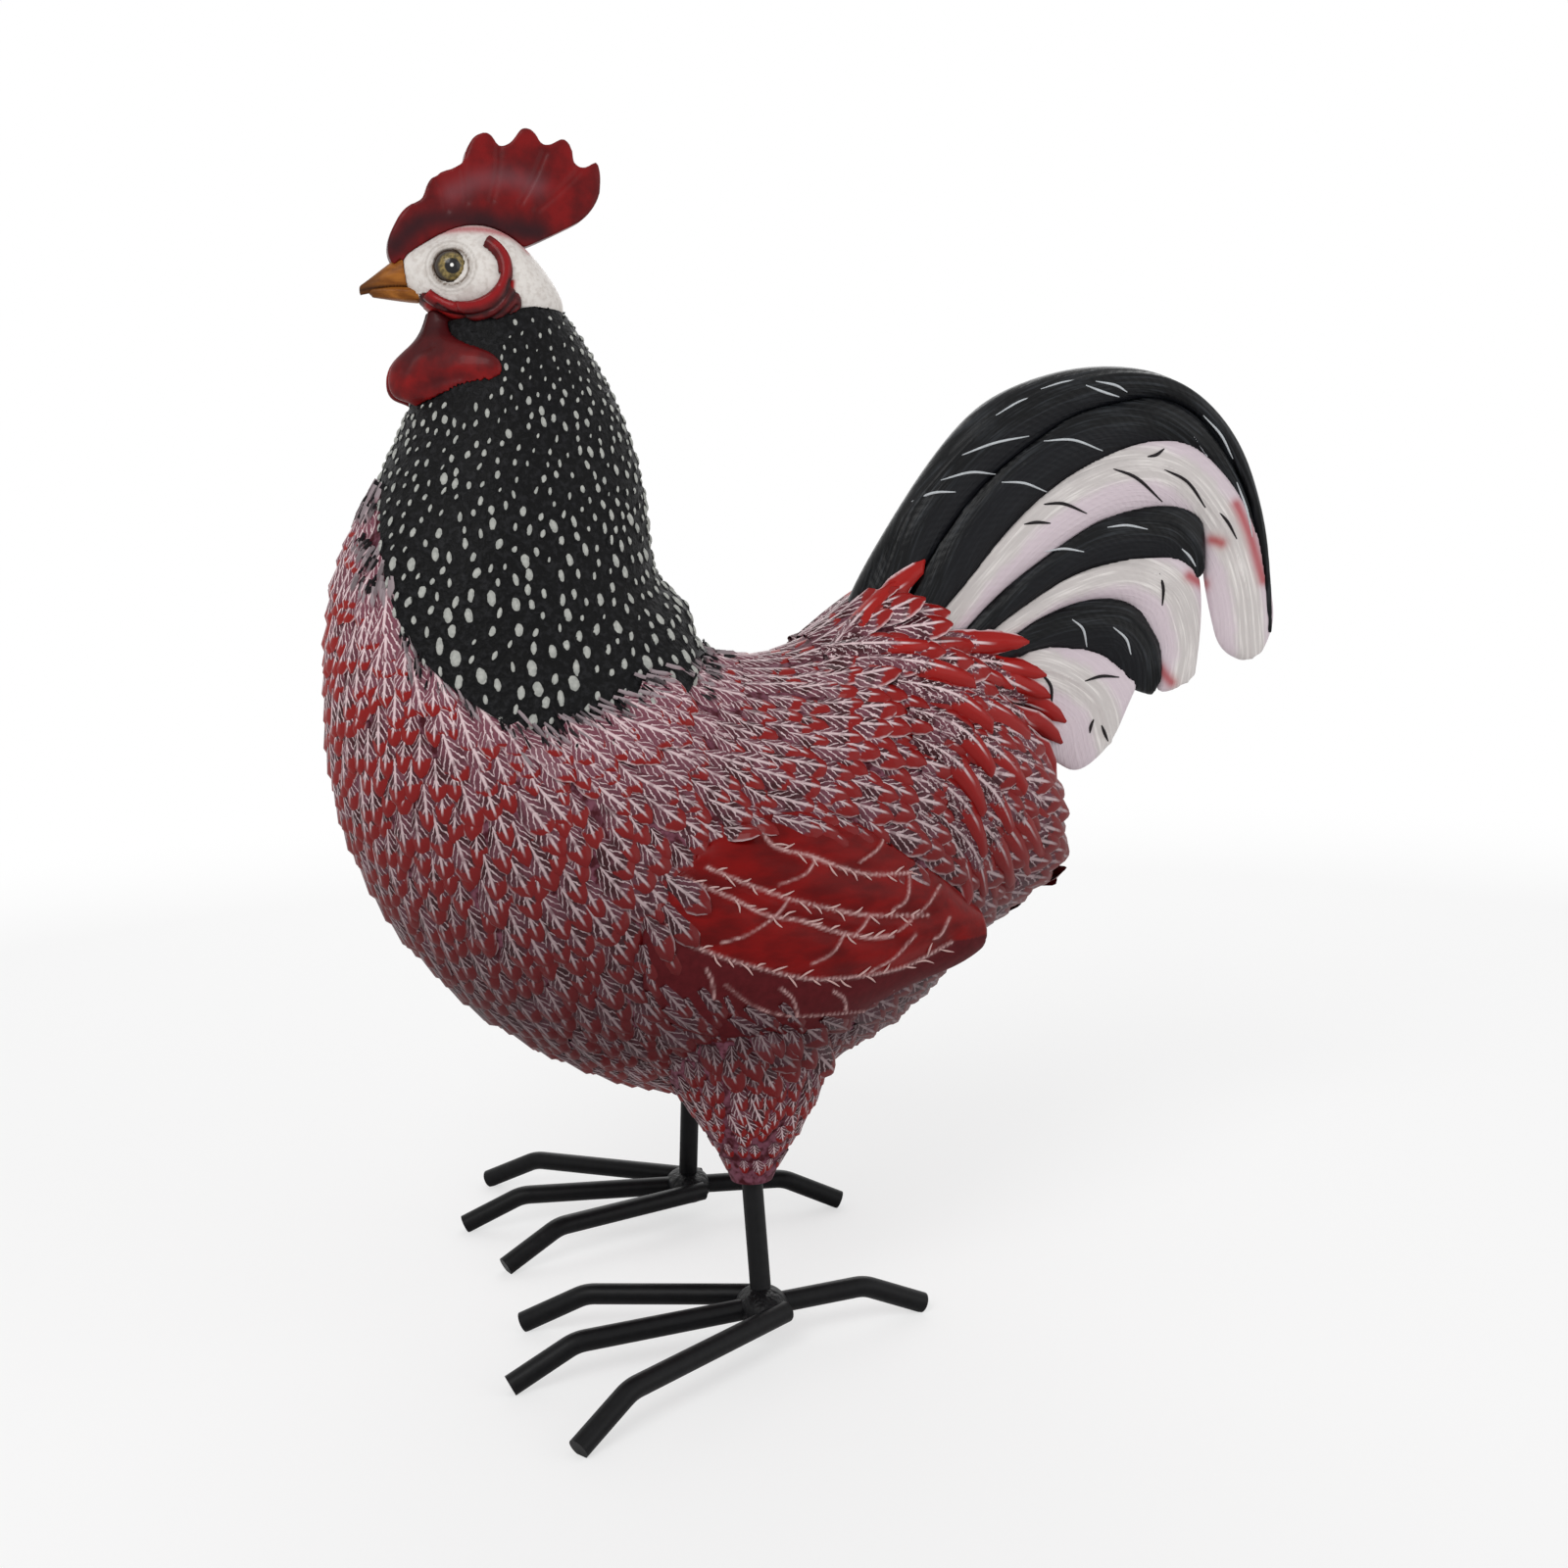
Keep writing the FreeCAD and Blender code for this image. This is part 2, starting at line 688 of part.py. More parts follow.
# Tail. Seven sickle feathers lie edge to edge. Each station of a feather is its outer x and z and its
# inner x and z, as shares of the tail's length and height from the tail's root inside the rump.
TAIL_ROOT_SHARES = (0.275, 0.88)
TAIL_FEATHER_SHARES = {
    "black_upper": [
        (-0.14, 0.03, -0.03, -0.03),
        (-0.085, 0.27, 0.04, 0.24),
        (0.00, 0.47, 0.10, 0.38),
        (0.10, 0.675, 0.19, 0.55),
        (0.21, 0.845, 0.28, 0.67),
        (0.315, 0.93, 0.37, 0.76),
        (0.435, 0.98, 0.46, 0.83),
        (0.555, 0.995, 0.565, 0.87),
        (0.68, 0.97, 0.675, 0.885),
        (0.79, 0.89, 0.77, 0.83),
        (0.88, 0.755, 0.845, 0.72),
        (0.94, 0.58, 0.91, 0.565),
        (0.975, 0.39, 0.95, 0.385),
        (0.99, 0.19, 0.975, 0.19),
        (0.995, 0.03, 0.985, 0.025),
    ],
    "black_inner": [
        (-0.03, -0.01, 0.04, -0.06),
        (0.04, 0.24, 0.11, 0.15),
        (0.10, 0.38, 0.185, 0.27),
        (0.19, 0.55, 0.275, 0.42),
        (0.28, 0.67, 0.34, 0.51),
        (0.37, 0.76, 0.43, 0.61),
        (0.46, 0.83, 0.505, 0.66),
        (0.565, 0.87, 0.58, 0.705),
        (0.675, 0.885, 0.68, 0.73),
        (0.77, 0.83, 0.755, 0.71),
        (0.845, 0.72, 0.82, 0.65),
        (0.91, 0.565, 0.885, 0.545),
        (0.955, 0.385, 0.94, 0.38),
    ],
    "white_upper": [
        (0.02, -0.03, 0.10, -0.08),
        (0.11, 0.15, 0.17, 0.08),
        (0.185, 0.27, 0.255, 0.205),
        (0.275, 0.42, 0.345, 0.305),
        (0.38, 0.55, 0.43, 0.385),
        (0.505, 0.66, 0.52, 0.455),
        (0.61, 0.715, 0.61, 0.495),
        (0.685, 0.73, 0.685, 0.51),
        (0.775, 0.70, 0.75, 0.495),
        (0.845, 0.62, 0.795, 0.46),
        (0.905, 0.515, 0.82, 0.38),
        (0.945, 0.405, 0.83, 0.29),
        (0.97, 0.28, 0.84, 0.20),
        (0.985, 0.15, 0.86, 0.07),
        (0.99, 0.045, 0.885, -0.02),
        (0.97, -0.045, 0.93, -0.07),
    ],
    "black_middle": [
        (0.08, -0.06, 0.145, -0.10),
        (0.185, 0.12, 0.24, 0.08),
        (0.275, 0.23, 0.32, 0.16),
        (0.375, 0.335, 0.415, 0.24),
        (0.505, 0.45, 0.51, 0.29),
        (0.61, 0.495, 0.605, 0.315),
        (0.685, 0.51, 0.68, 0.32),
        (0.75, 0.495, 0.735, 0.305),
        (0.795, 0.46, 0.77, 0.275),
        (0.808, 0.385, 0.785, 0.245),
        (0.812, 0.31, 0.80, 0.245),
    ],
    "white_middle": [
        (0.13, -0.07, 0.185, -0.12),
        (0.25, 0.10, 0.30, 0.06),
        (0.35, 0.19, 0.385, 0.13),
        (0.455, 0.27, 0.48, 0.175),
        (0.555, 0.31, 0.56, 0.18),
        (0.66, 0.32, 0.62, 0.15),
        (0.74, 0.305, 0.66, 0.09),
        (0.78, 0.245, 0.69, 0.015),
        (0.793, 0.15, 0.70, -0.07),
        (0.793, 0.02, 0.705, -0.14),
        (0.785, -0.12, 0.73, -0.165),
    ],
    "black_lower": [
        (0.175, -0.09, 0.225, -0.16),
        (0.30, 0.08, 0.33, -0.005),
        (0.39, 0.145, 0.405, 0.015),
        (0.48, 0.18, 0.47, 0.005),
        (0.56, 0.18, 0.535, -0.02),
        (0.62, 0.15, 0.58, -0.075),
        (0.66, 0.09, 0.62, -0.12),
        (0.69, 0.015, 0.655, -0.15),
        (0.70, -0.07, 0.68, -0.17),
    ],
    "white_lower": [
        (0.19, -0.15, 0.16, -0.27),
        (0.30, -0.01, 0.24, -0.15),
        (0.365, 0.02, 0.31, -0.13),
        (0.455, 0.01, 0.36, -0.20),
        (0.53, -0.02, 0.385, -0.28),
        (0.585, -0.075, 0.41, -0.35),
        (0.62, -0.14, 0.455, -0.385),
        (0.605, -0.21, 0.51, -0.405),
        (0.585, -0.28, 0.545, -0.37),
    ],
}
SEAM_SHARE = 0.14
TIP_THIN_SHARE = 0.60


def tail_point(x_share, z_share):
    root = body_point(*TAIL_ROOT_SHARES)
    return root + Vector(x_share * size("tail_length"), 0, z_share * size("tail_height"))


def feather_block(name, shares, tucked):
    """One lens-shaped sickle feather. A tucked feather runs on under the seam above it."""
    spans = []
    last = len(shares) - 1
    for number, (outer_x, outer_z, inner_x, inner_z) in enumerate(shares):
        outer = tail_point(outer_x, outer_z)
        inner = tail_point(inner_x, inner_z)
        lap = (inner - outer) * SEAM_SHARE
        along = number / last
        half_width = size("tail_thickness") / 2 * (1 - TIP_THIN_SHARE * along * along)
        if tucked:
            outer = outer - lap
        spans.append((outer, inner + lap, half_width))
    return skinned(name, spans, 0.0)


def tail_feathers():
    """The feathers from top to bottom, each cut back to the two above it and to the body."""
    blocks = []
    feathers = {}
    for name, shares in TAIL_FEATHER_SHARES.items():
        block = feather_block(name + "_block", shares, tucked=bool(blocks))
        trimmed = cut(name + "_off_body", block, torso)
        for above in blocks[-2:]:
            trimmed = cut(f"{name}_off_{above.Name}", trimmed, above)
        feathers[name + "_feather"] = trimmed
        blocks.append(block)
    return feathers


feathers = tail_feathers()

# Body: the trunk below the cape with both thighs, and a socket for each leg rod.
right_thigh = mirrored("right_thigh", left_thigh)
trunk = cut("trunk", torso, cape_cutter)
figure = fuse("figure", trunk, left_thigh, right_thigh)
body = cut("body_right_socket", cut("body_left_socket", figure, left_leg), right_leg)

PAIRED = {
    "wing": left_wing,
    "eye": left_eye,
    "face_ring": left_ring,
    "wattle": left_wattle,
    "leg_rod": left_leg,
    "middle_toe": left_middle_toe,
    "inner_toe": left_inner_toe,
    "outer_toe": left_outer_toe,
    "ankle_weld": left_weld,
}
pieces = {
    "body_casting": body,
    "neck_cape": neck,
    "head_casting": head,
    "comb": comb,
    "upper_beak": upper_beak,
    "lower_beak": lower_beak,
}
for name, left in PAIRED.items():
    pieces["left_" + name] = left
    pieces["right_" + name] = mirrored("other_" + name, left)
pieces.update(feathers)


def write_parts(parts):
    """Checks every object, centres the figure over the origin and writes one file for each sub-part."""
    doc.recompute()
    for item in doc.Objects:
        if "Invalid" in item.State or "Error" in item.State:
            raise RuntimeError(f"{item.Name} failed: {item.State}")
    box = FreeCAD.BoundBox()
    for name, piece in parts.items():
        if piece.Shape.isNull() or not piece.Shape.isValid():
            raise RuntimeError(f"{name} has no valid shape")
        box.add(piece.Shape.optimalBoundingBox())
    to_origin = Vector(-box.Center.x, 0, 0)
    os.makedirs("parts", exist_ok=True)
    for name, piece in parts.items():
        piece.Label = name
        shape = piece.Shape.copy()
        shape.translate(to_origin)
        shape.exportStep(f"parts/{name}.step")
        print(name, "solids", len(shape.Solids), "volume", round(shape.Volume), "faces", len(shape.Faces))
    print("box", box)


write_parts(pieces)
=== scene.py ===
# %% [markdown]
# # A cast and painted rooster on feet of welded rod
#
# The real ornament is a resin casting. A sculptor carved hundreds of small feathers into the master,
# and a painter picked them out: red tips, pale brushed barbs, a black cape with raised white spots.
# The construction comes packed as a frame of plain smooth pieces. This lesson dresses that frame:
# feathers, spots and painted lines are real geometry laid on its surfaces, and the paints are
# node materials. Everything is in metres, in the frame's own place.

# %% Load the frame
import math

import bmesh
import bpy
import numpy as np
from mathutils import Matrix, Vector
from mathutils.bvhtree import BVHTree


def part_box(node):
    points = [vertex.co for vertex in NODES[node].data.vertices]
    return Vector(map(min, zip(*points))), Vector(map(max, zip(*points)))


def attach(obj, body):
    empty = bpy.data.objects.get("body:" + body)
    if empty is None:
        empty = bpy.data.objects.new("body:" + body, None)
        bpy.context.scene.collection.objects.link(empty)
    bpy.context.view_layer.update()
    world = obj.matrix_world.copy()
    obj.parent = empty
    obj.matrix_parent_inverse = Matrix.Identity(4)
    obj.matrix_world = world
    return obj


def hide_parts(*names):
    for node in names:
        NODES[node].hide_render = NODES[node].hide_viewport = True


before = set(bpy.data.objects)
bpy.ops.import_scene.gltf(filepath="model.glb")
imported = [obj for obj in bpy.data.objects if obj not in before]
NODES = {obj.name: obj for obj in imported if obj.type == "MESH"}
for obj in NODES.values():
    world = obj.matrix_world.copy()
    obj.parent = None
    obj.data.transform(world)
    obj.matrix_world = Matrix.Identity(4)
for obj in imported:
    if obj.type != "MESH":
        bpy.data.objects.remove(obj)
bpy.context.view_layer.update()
MM = 0.001
rng = np.random.default_rng(7)

# %% [markdown]
# ## The camera
#
# The photograph looks at the bird's left side, a little from the front and above. The camera comes
# first, because many painted lines are placed by the pixel of the photograph they show at: a ray goes
# out through that pixel and stops on the surface that carries the line.

# %% Camera at the photograph's angle
PHOTO_SIDE = 1600
VIEW_AZIMUTH, VIEW_ELEVATION, VIEW_ROLL = (math.radians(angle) for angle in (-14.6, 9.0, -1.3))
VIEW_TARGET = Vector((-14.8, 0, 152.25)) * MM
VIEW_DISTANCE = 589 * MM
LENS, SENSOR = 45, 36

view_back = Vector((
    math.sin(VIEW_AZIMUTH) * math.cos(VIEW_ELEVATION),
    -math.cos(VIEW_AZIMUTH) * math.cos(VIEW_ELEVATION),
    math.sin(VIEW_ELEVATION),
))
level_right = Vector((math.cos(VIEW_AZIMUTH), math.sin(VIEW_AZIMUTH), 0))
level_up = view_back.cross(level_right)
view_right = level_right * math.cos(VIEW_ROLL) + level_up * math.sin(VIEW_ROLL)
view_up = level_up * math.cos(VIEW_ROLL) - level_right * math.sin(VIEW_ROLL)
VIEW_PLACE = VIEW_TARGET + view_back * VIEW_DISTANCE

camera_data = bpy.data.cameras.new("camera")
camera_data.lens = LENS
camera_data.sensor_width = SENSOR
camera = bpy.data.objects.new("camera", camera_data)
bpy.context.collection.objects.link(camera)
turned = Matrix((view_right, view_up, view_back)).transposed().to_4x4()
camera.matrix_world = Matrix.Translation(VIEW_PLACE) @ turned
bpy.context.scene.camera = camera
print("camera at", [round(value, 3) for value in VIEW_PLACE])


# %% A ray through a pixel of the photograph
def photo_ray(pixel_x, pixel_y):
    """The direction from the camera through this pixel."""
    focal = PHOTO_SIDE * LENS / SENSOR
    across = (pixel_x - PHOTO_SIDE / 2) / focal
    down = (pixel_y - PHOTO_SIDE / 2) / focal
    return (view_right * across - view_up * down - view_back).normalized()


def on_middle_plane(pixel_x, pixel_y):
    """Where the ray through this pixel meets the bird's middle plane."""
    ray = photo_ray(pixel_x, pixel_y)
    return VIEW_PLACE - ray * (VIEW_PLACE.y / ray.y)


def photo_pixels(points):
    """Where the photograph shows these points. A point of the far side gives its mirror image's pixel."""
    near = np.array(points, float)
    near[:, 1] = -abs(near[:, 1])
    offset = near - np.array(VIEW_PLACE)
    scale = PHOTO_SIDE * LENS / SENSOR / -(offset @ np.array(view_back))
    across, down = offset @ np.array(view_right) * scale, -(offset @ np.array(view_up)) * scale
    return np.stack([across, down], 1) + PHOTO_SIDE / 2


# On the bird's near side, where the painted lines are.
PIXELS_PER_METRE = 3570


def inside(outline, pixels):
    """Which of the pixels lie inside this outline."""
    x, y = np.array(pixels, float).T
    found = np.zeros(len(x), bool)
    for (x0, y0), (x1, y1) in zip(outline, outline[1:] + outline[:1]):
        if y0 != y1:
            found ^= ((y0 > y) != (y1 > y)) & (x < (x1 - x0) * (y - y0) / (y1 - y0) + x0)
    return found


EYE_PIXEL = (460, 272)
print("the eye's pixel meets the middle plane at", on_middle_plane(*EYE_PIXEL))

# %% [markdown]
# ## Trees of nodes
#
# A paint is a tree of shader nodes. It computes its colour from the place on the piece, so it needs no
# image. A Geometry Nodes recipe is a tree too. Two small classes keep both readable: one adds nodes
# and links them, the other knows the steps that all the paints share.


# %% A tree of nodes
class Tree:
    """A node tree under construction. Each call adds one node and returns it."""

    def __init__(self, tree):
        self.tree = tree

    def node(self, kind, inputs=None, **settings):
        made = self.tree.nodes.new(kind)
        for setting, value in settings.items():
            setattr(made, setting, value)
        for socket, value in (inputs or {}).items():
            self.put(made.inputs[socket], value)
        return made

    def put(self, socket, value):
        """Links a socket to another, or sets its value."""
        if isinstance(value, bpy.types.NodeSocket):
            self.tree.links.new(value, socket)
        else:
            socket.default_value = value

    def calc(self, operation, first, second=0.0, third=0.0):
        return self.node("ShaderNodeMath", {0: first, 1: second, 2: third}, operation=operation).outputs[0]


# %% A paint
class Paint(Tree):
    """A material under construction, on top of a tree. The short calls return output sockets."""

    def __init__(self, name):
        self.material = bpy.data.materials.new(name)
        self.material.use_nodes = True
        super().__init__(self.material.node_tree)
        self.shader = self.tree.nodes["Principled BSDF"]

    def ramp(self, value, low, high, start=0.0, end=1.0):
        """A smooth step of value between low and high."""
        inputs = {"Value": value, "From Min": low, "From Max": high, "To Min": start, "To Max": end}
        return self.node("ShaderNodeMapRange", inputs, interpolation_type="SMOOTHSTEP").outputs[0]

    def mix(self, factor, first, second):
        made = self.node("ShaderNodeMix", data_type="RGBA")
        self.put(made.inputs[0], factor)
        self.put(made.inputs[6], first)
        self.put(made.inputs[7], second)
        return made.outputs[2]

    def blend(self, value, low, high, first, second):
        """From the first colour to the second, as value goes from low to high."""
        return self.mix(self.ramp(value, low, high), first, second)

    def place(self):
        return self.node("ShaderNodeTexCoord").outputs["Object"]

    def uv(self):
        return self.node("ShaderNodeUVMap", uv_map="UVMap").outputs[0]

    def xyz(self, vector):
        return self.node("ShaderNodeSeparateXYZ", {0: vector}).outputs

    def attribute(self, name):
        return self.node("ShaderNodeAttribute", attribute_name=name).outputs["Fac"]

    def speckle(self, vector, detail=3.0):
        """Noise over this vector."""
        made = self.node("ShaderNodeTexNoise", {"Vector": vector, "Scale": 1.0, "Detail": detail})
        return made.outputs[0]

    def noise(self, size, detail=3.0, stretch=(1, 1, 1)):
        """Noise with blotches of this size in metres."""
        inputs = {0: self.place(), 1: [1 / size / factor for factor in stretch]}
        scaled = self.node("ShaderNodeVectorMath", inputs, operation="MULTIPLY")
        return self.speckle(scaled.outputs[0], detail)

    def finish(self, colour, roughness, bump=None, depth=0.0, coat=0.0, gloss=0.12):
        """Connects the shader. depth is how far the bump reaches from its lowest to its highest place."""
        self.put(self.shader.inputs["Base Color"], colour)
        self.put(self.shader.inputs["Specular IOR Level"], gloss)
        self.put(self.shader.inputs["Roughness"], roughness)
        self.put(self.shader.inputs["Coat Weight"], coat)
        if bump is not None:
            dent = self.node("ShaderNodeBump", {"Height": bump, "Distance": depth, "Strength": 1.0})
            self.put(self.shader.inputs["Normal"], dent.outputs[0])
        return self.material


def rgb(*steps):
    """A paint colour, given as it looks on screen in steps of 255, as the shader's linear colour."""
    return [((step / 255 + 0.055) / 1.055) ** 2.4 if step > 10 else step / 3295 for step in steps] + [1]


# %% [markdown]
# ## Studio
#
# The photograph is cut out on white, so the floor and the world are white to the camera and plain
# soft light falls on the bird from above and the left. The floor is lit like paper and fades into
# the white world with distance, so no horizon shows.

# %% Floor, world and lamps
FLOOR_SIZE = 6.0
FLOOR_FADE = (0.25, 0.9)
FLOOR_GLOW = 0.6
PAPER = (0.93, 0.93, 0.93, 1)
WHITE = (1, 1, 1, 1)
EVEN_LIGHT = 0.5
LAMPS = {
    "key": ((-0.7, -1.0, 1.25), 0.8, 9.5),
    "fill": ((1.1, -0.9, 0.5), 1.2, 4),
    "back": ((0.3, 1.3, 1.0), 1.2, 8),
}


def floor_paper():
    """White paper that fades into the white world."""
    paper = Paint("floor_paper")
    far = paper.node("ShaderNodeVectorMath", {0: paper.place()}, operation="LENGTH").outputs["Value"]
    glow = paper.node("ShaderNodeEmission", {"Color": WHITE, "Strength": 1.0}).outputs[0]
    seen = paper.node("ShaderNodeLightPath").outputs["Is Camera Ray"]
    blend = paper.calc("MAXIMUM", paper.ramp(far, *FLOOR_FADE), paper.calc("MULTIPLY", seen, FLOOR_GLOW))
    paper.finish(PAPER, 0.9)
    output = paper.tree.nodes["Material Output"]
    mixed = paper.node("ShaderNodeMixShader", {0: blend, 1: paper.shader.outputs[0], 2: glow})
    paper.put(output.inputs["Surface"], mixed.outputs[0])
    return paper.material


def white_world():
    """White where the camera or a gloss looks, and a plain even light for the rest."""
    world = bpy.data.worlds.new("studio")
    world.use_nodes = True
    bpy.context.scene.world = world
    tree = Tree(world.node_tree)
    background = world.node_tree.nodes["Background"]
    rays = tree.node("ShaderNodeLightPath").outputs
    seen = tree.calc("MAXIMUM", rays["Is Camera Ray"], rays["Is Glossy Ray"])
    strength = tree.node("ShaderNodeMapRange", {"Value": seen, "To Min": EVEN_LIGHT, "To Max": 1.0})
    tree.put(background.inputs["Strength"], strength.outputs[0])
    tree.put(background.inputs["Color"], WHITE)


def lamp(name, place, size, power):
    """A square soft lamp that looks at the bird's breast."""
    data = bpy.data.lights.new(name, "AREA")
    data.size = size
    data.energy = power
    lit = bpy.data.objects.new(name, data)
    bpy.context.collection.objects.link(lit)
    lit.location = place
    lit.rotation_euler = (VIEW_TARGET - Vector(place)).to_track_quat("-Z", "Y").to_euler()


floor_mesh = bpy.data.meshes.new("floor")
reach = FLOOR_SIZE / 2
corners = [(-reach, -reach, 0), (reach, -reach, 0), (reach, reach, 0), (-reach, reach, 0)]
floor_mesh.from_pydata(corners, [], [(0, 1, 2, 3)])
floor_mesh.materials.append(floor_paper())
floor = bpy.data.objects.new("floor", floor_mesh)
bpy.context.collection.objects.link(floor)
white_world()
for lamp_name, (place, size, power) in LAMPS.items():
    lamp(lamp_name, place, size, power)
bpy.context.scene.view_settings.view_transform = "Standard"
print("floor, world and", len(LAMPS), "lamps")

# %% [markdown]
# ## Reading the frame's surfaces
#
# Feathers and painted lines lie on the frame's pieces, so their surfaces are read once: merged, with
# normals, and with a tree for rays. `pinned` drops a place onto the surface that the photograph shows
# at a pixel, and `outside` says whether another piece covers a place.

# %% A surface that can be asked
WELD = 0.001 * MM


class Skin:
    """The merged surface of some pieces of the frame."""

    def __init__(self, *names):
        mesh = bmesh.new()
        for name in names:
            mesh.from_mesh(NODES[name].data)
        bmesh.ops.remove_doubles(mesh, verts=mesh.verts, dist=WELD)
        mesh.normal_update()
        self.points = np.array([vertex.co for vertex in mesh.verts])
        self.normals = np.array([vertex.normal for vertex in mesh.verts])
        self.triangles = np.array([[vertex.index for vertex in face.verts] for face in mesh.faces])
        self.tree = BVHTree.FromBMesh(mesh)
        mesh.free()


COVER_REACH = 2.0 * MM
TINY = 0.05 * MM


def outside(cover, point, normal):
    """True where no covering piece lies just above this place."""
    start = Vector(point) + Vector(normal) * TINY
    return cover.tree.ray_cast(start, Vector(normal), COVER_REACH)[0] is None


def all_but(left_out):
    """The surface of every piece but one."""
    return Skin(*[name for name in NODES if name != left_out])


bird_skin = Skin(*[name for name in NODES if "toe" not in name and "rod" not in name])
body_skin = Skin("body_casting")
cape_skin = Skin("neck_cape")
print("surfaces of", len(bird_skin.triangles), "triangles")


# %% Places by pixel, and smooth lines
def pinned(pixel_x, pixel_y, skin):
    """The place and normal on the surface that shows at this pixel, or None past the outline."""
    place, normal, _, _ = skin.tree.ray_cast(VIEW_PLACE, photo_ray(pixel_x, pixel_y))
    return None if place is None else (place, normal)


def smooth_line(points, steps):
    """A curve through given points, as many more points."""
    points = [np.array(point, float) for point in points]
    ends = [2 * points[0] - points[1]] + points + [2 * points[-1] - points[-2]]
    line = []
    for before, start, stop, after in zip(ends, ends[1:], ends[2:], ends[3:]):
        for step in range(steps):
            t = step / steps
            line.append(0.5 * (
                2 * start + (stop - before) * t
                + (2 * before - 5 * start + 4 * stop - after) * t ** 2
                + (3 * start - before - 3 * stop + after) * t ** 3
            ))
    return line + [points[-1]]


def run_along(line):
    """The length of the way from a line's start to each of its points."""
    return np.concatenate([[0], np.cumsum(np.linalg.norm(np.diff(line, axis=0), axis=1))])


def at_stops(line, run, stops):
    """The points of a line at these lengths along it."""
    return np.stack([np.interp(stops, run, column) for column in line.T], -1)


# %% [markdown]
# ## Rows of places for feathers
#
# A carver lays feathers in rows, each row covering the roots of the next, and every second row is
# shifted by half a feather. The rows here are level lines of one simple measure: the distance from
# the throat, as seen from the side. Their step outwards is the way the feathers point, straight down
# on the breast, back and down on the flank, and straight back on the rump. Each level line is cut
# out of the surface triangle by triangle, then walked with even steps.


# %% Level lines of a surface
def level_lines(skin, values, level):
    """The lines where values cross this level, each as points with their normals."""
    above = values >= level
    sides = above[skin.triangles].sum(1)
    links = {}
    for triangle in skin.triangles[(sides > 0) & (sides < 3)]:
        edges = zip(triangle, np.roll(triangle, 1))
        crossed = [(min(edge), max(edge)) for edge in edges if above[edge[0]] != above[edge[1]]]
        links.setdefault(crossed[0], []).append(crossed[1])
        links.setdefault(crossed[1], []).append(crossed[0])
    lines = []
    while links:
        start = next((key for key, ends in links.items() if len(ends) == 1), next(iter(links)))
        walk = [start]
        while links.get(walk[-1]):
            following = links[walk[-1]].pop()
            links[following].remove(walk[-1])
            walk.append(following)
        links = {key: ends for key, ends in links.items() if ends}
        low, high = np.array(walk).T
        share = ((level - values[low]) / (values[high] - values[low]))[:, None]
        points = skin.points[low] * (1 - share) + skin.points[high] * share
        normals = skin.normals[low] * (1 - share) + skin.normals[high] * share
        lines.append((points, normals))
    return lines


# %% Even steps along the level lines
UNEVEN = 0.16
TINIEST = 1e-9


def rows_of_places(skin, measure, row_gap, step, keep):
    """Staggered places on the level lines of a measure, each as (point, normal)."""
    values = measure(skin.points)
    places = []
    for number, level in enumerate(np.arange(values.min() + row_gap / 2, values.max(), row_gap)):
        for points, normals in level_lines(skin, values, level):
            run = run_along(points)
            stops = np.arange(step * (0.25 + 0.5 * (number % 2)), run[-1], step)
            stops = stops + rng.uniform(-UNEVEN, UNEVEN, len(stops)) * step
            for point, normal in zip(at_stops(points, run, stops), at_stops(normals, run, stops)):
                normal = normal / max(np.linalg.norm(normal), TINIEST)
                if keep(point, normal):
                    places.append((point, normal))
    return places


# %% [markdown]
# ## One feather, and the recipe that lays it in rows
#
# A carved feather is a low shield: narrow at its root, round at its tip, a little raised along its
# shaft, with edges that turn down into the surface. One mesh of a few dozen faces is enough, because
# it is used hundreds of times. Its UV map runs across and along the feather, and the paint reads it.
# Geometry Nodes turn the shield so that it lies on the surface, point it along the flow, tip it up a
# little, and vary its size and shade from a fixed seed.


# %% The shield shape
TIP_ROUNDING = 0.03


def smooth_mesh(name, points, faces, coordinates):
    """A smooth mesh. Its UV map takes one coordinate for each point."""
    mesh = bpy.data.meshes.new(name)
    mesh.from_pydata([tuple(point) for point in points], [], faces)
    layer = mesh.uv_layers.new(name="UVMap")
    for loop in mesh.loops:
        layer.data[loop.index].uv = coordinates[loop.vertex_index]
    mesh.polygons.foreach_set("use_smooth", [True] * len(mesh.polygons))
    return mesh


def shield(name, half_widths, crown, shaft, skirt, columns=5):
    """A unit feather along +X with its root at the origin. half_widths run from root to tip."""
    rows = len(half_widths)
    across = [2 * column / (columns - 1) - 1 for column in range(columns)]
    points, coordinates = [], []
    for row, half_width in enumerate(half_widths):
        along = row / (rows - 1)
        last = row == rows - 1
        for side in across:
            height = crown * (1 - side * side) + (shaft if side == 0 else 0)
            edge = abs(side) == 1 or last
            reached = along - TIP_ROUNDING * abs(side) * last
            points.append((reached, side * half_width, -skirt if edge else height))
            coordinates.append((side / 2 + 0.5, along))
    firsts = [row * columns + column for row in range(rows - 1) for column in range(columns - 1)]
    faces = [(first + 1, first + columns + 1, first + columns, first) for first in firsts]
    return bpy.data.objects.new(name, smooth_mesh(name, points, faces, coordinates))


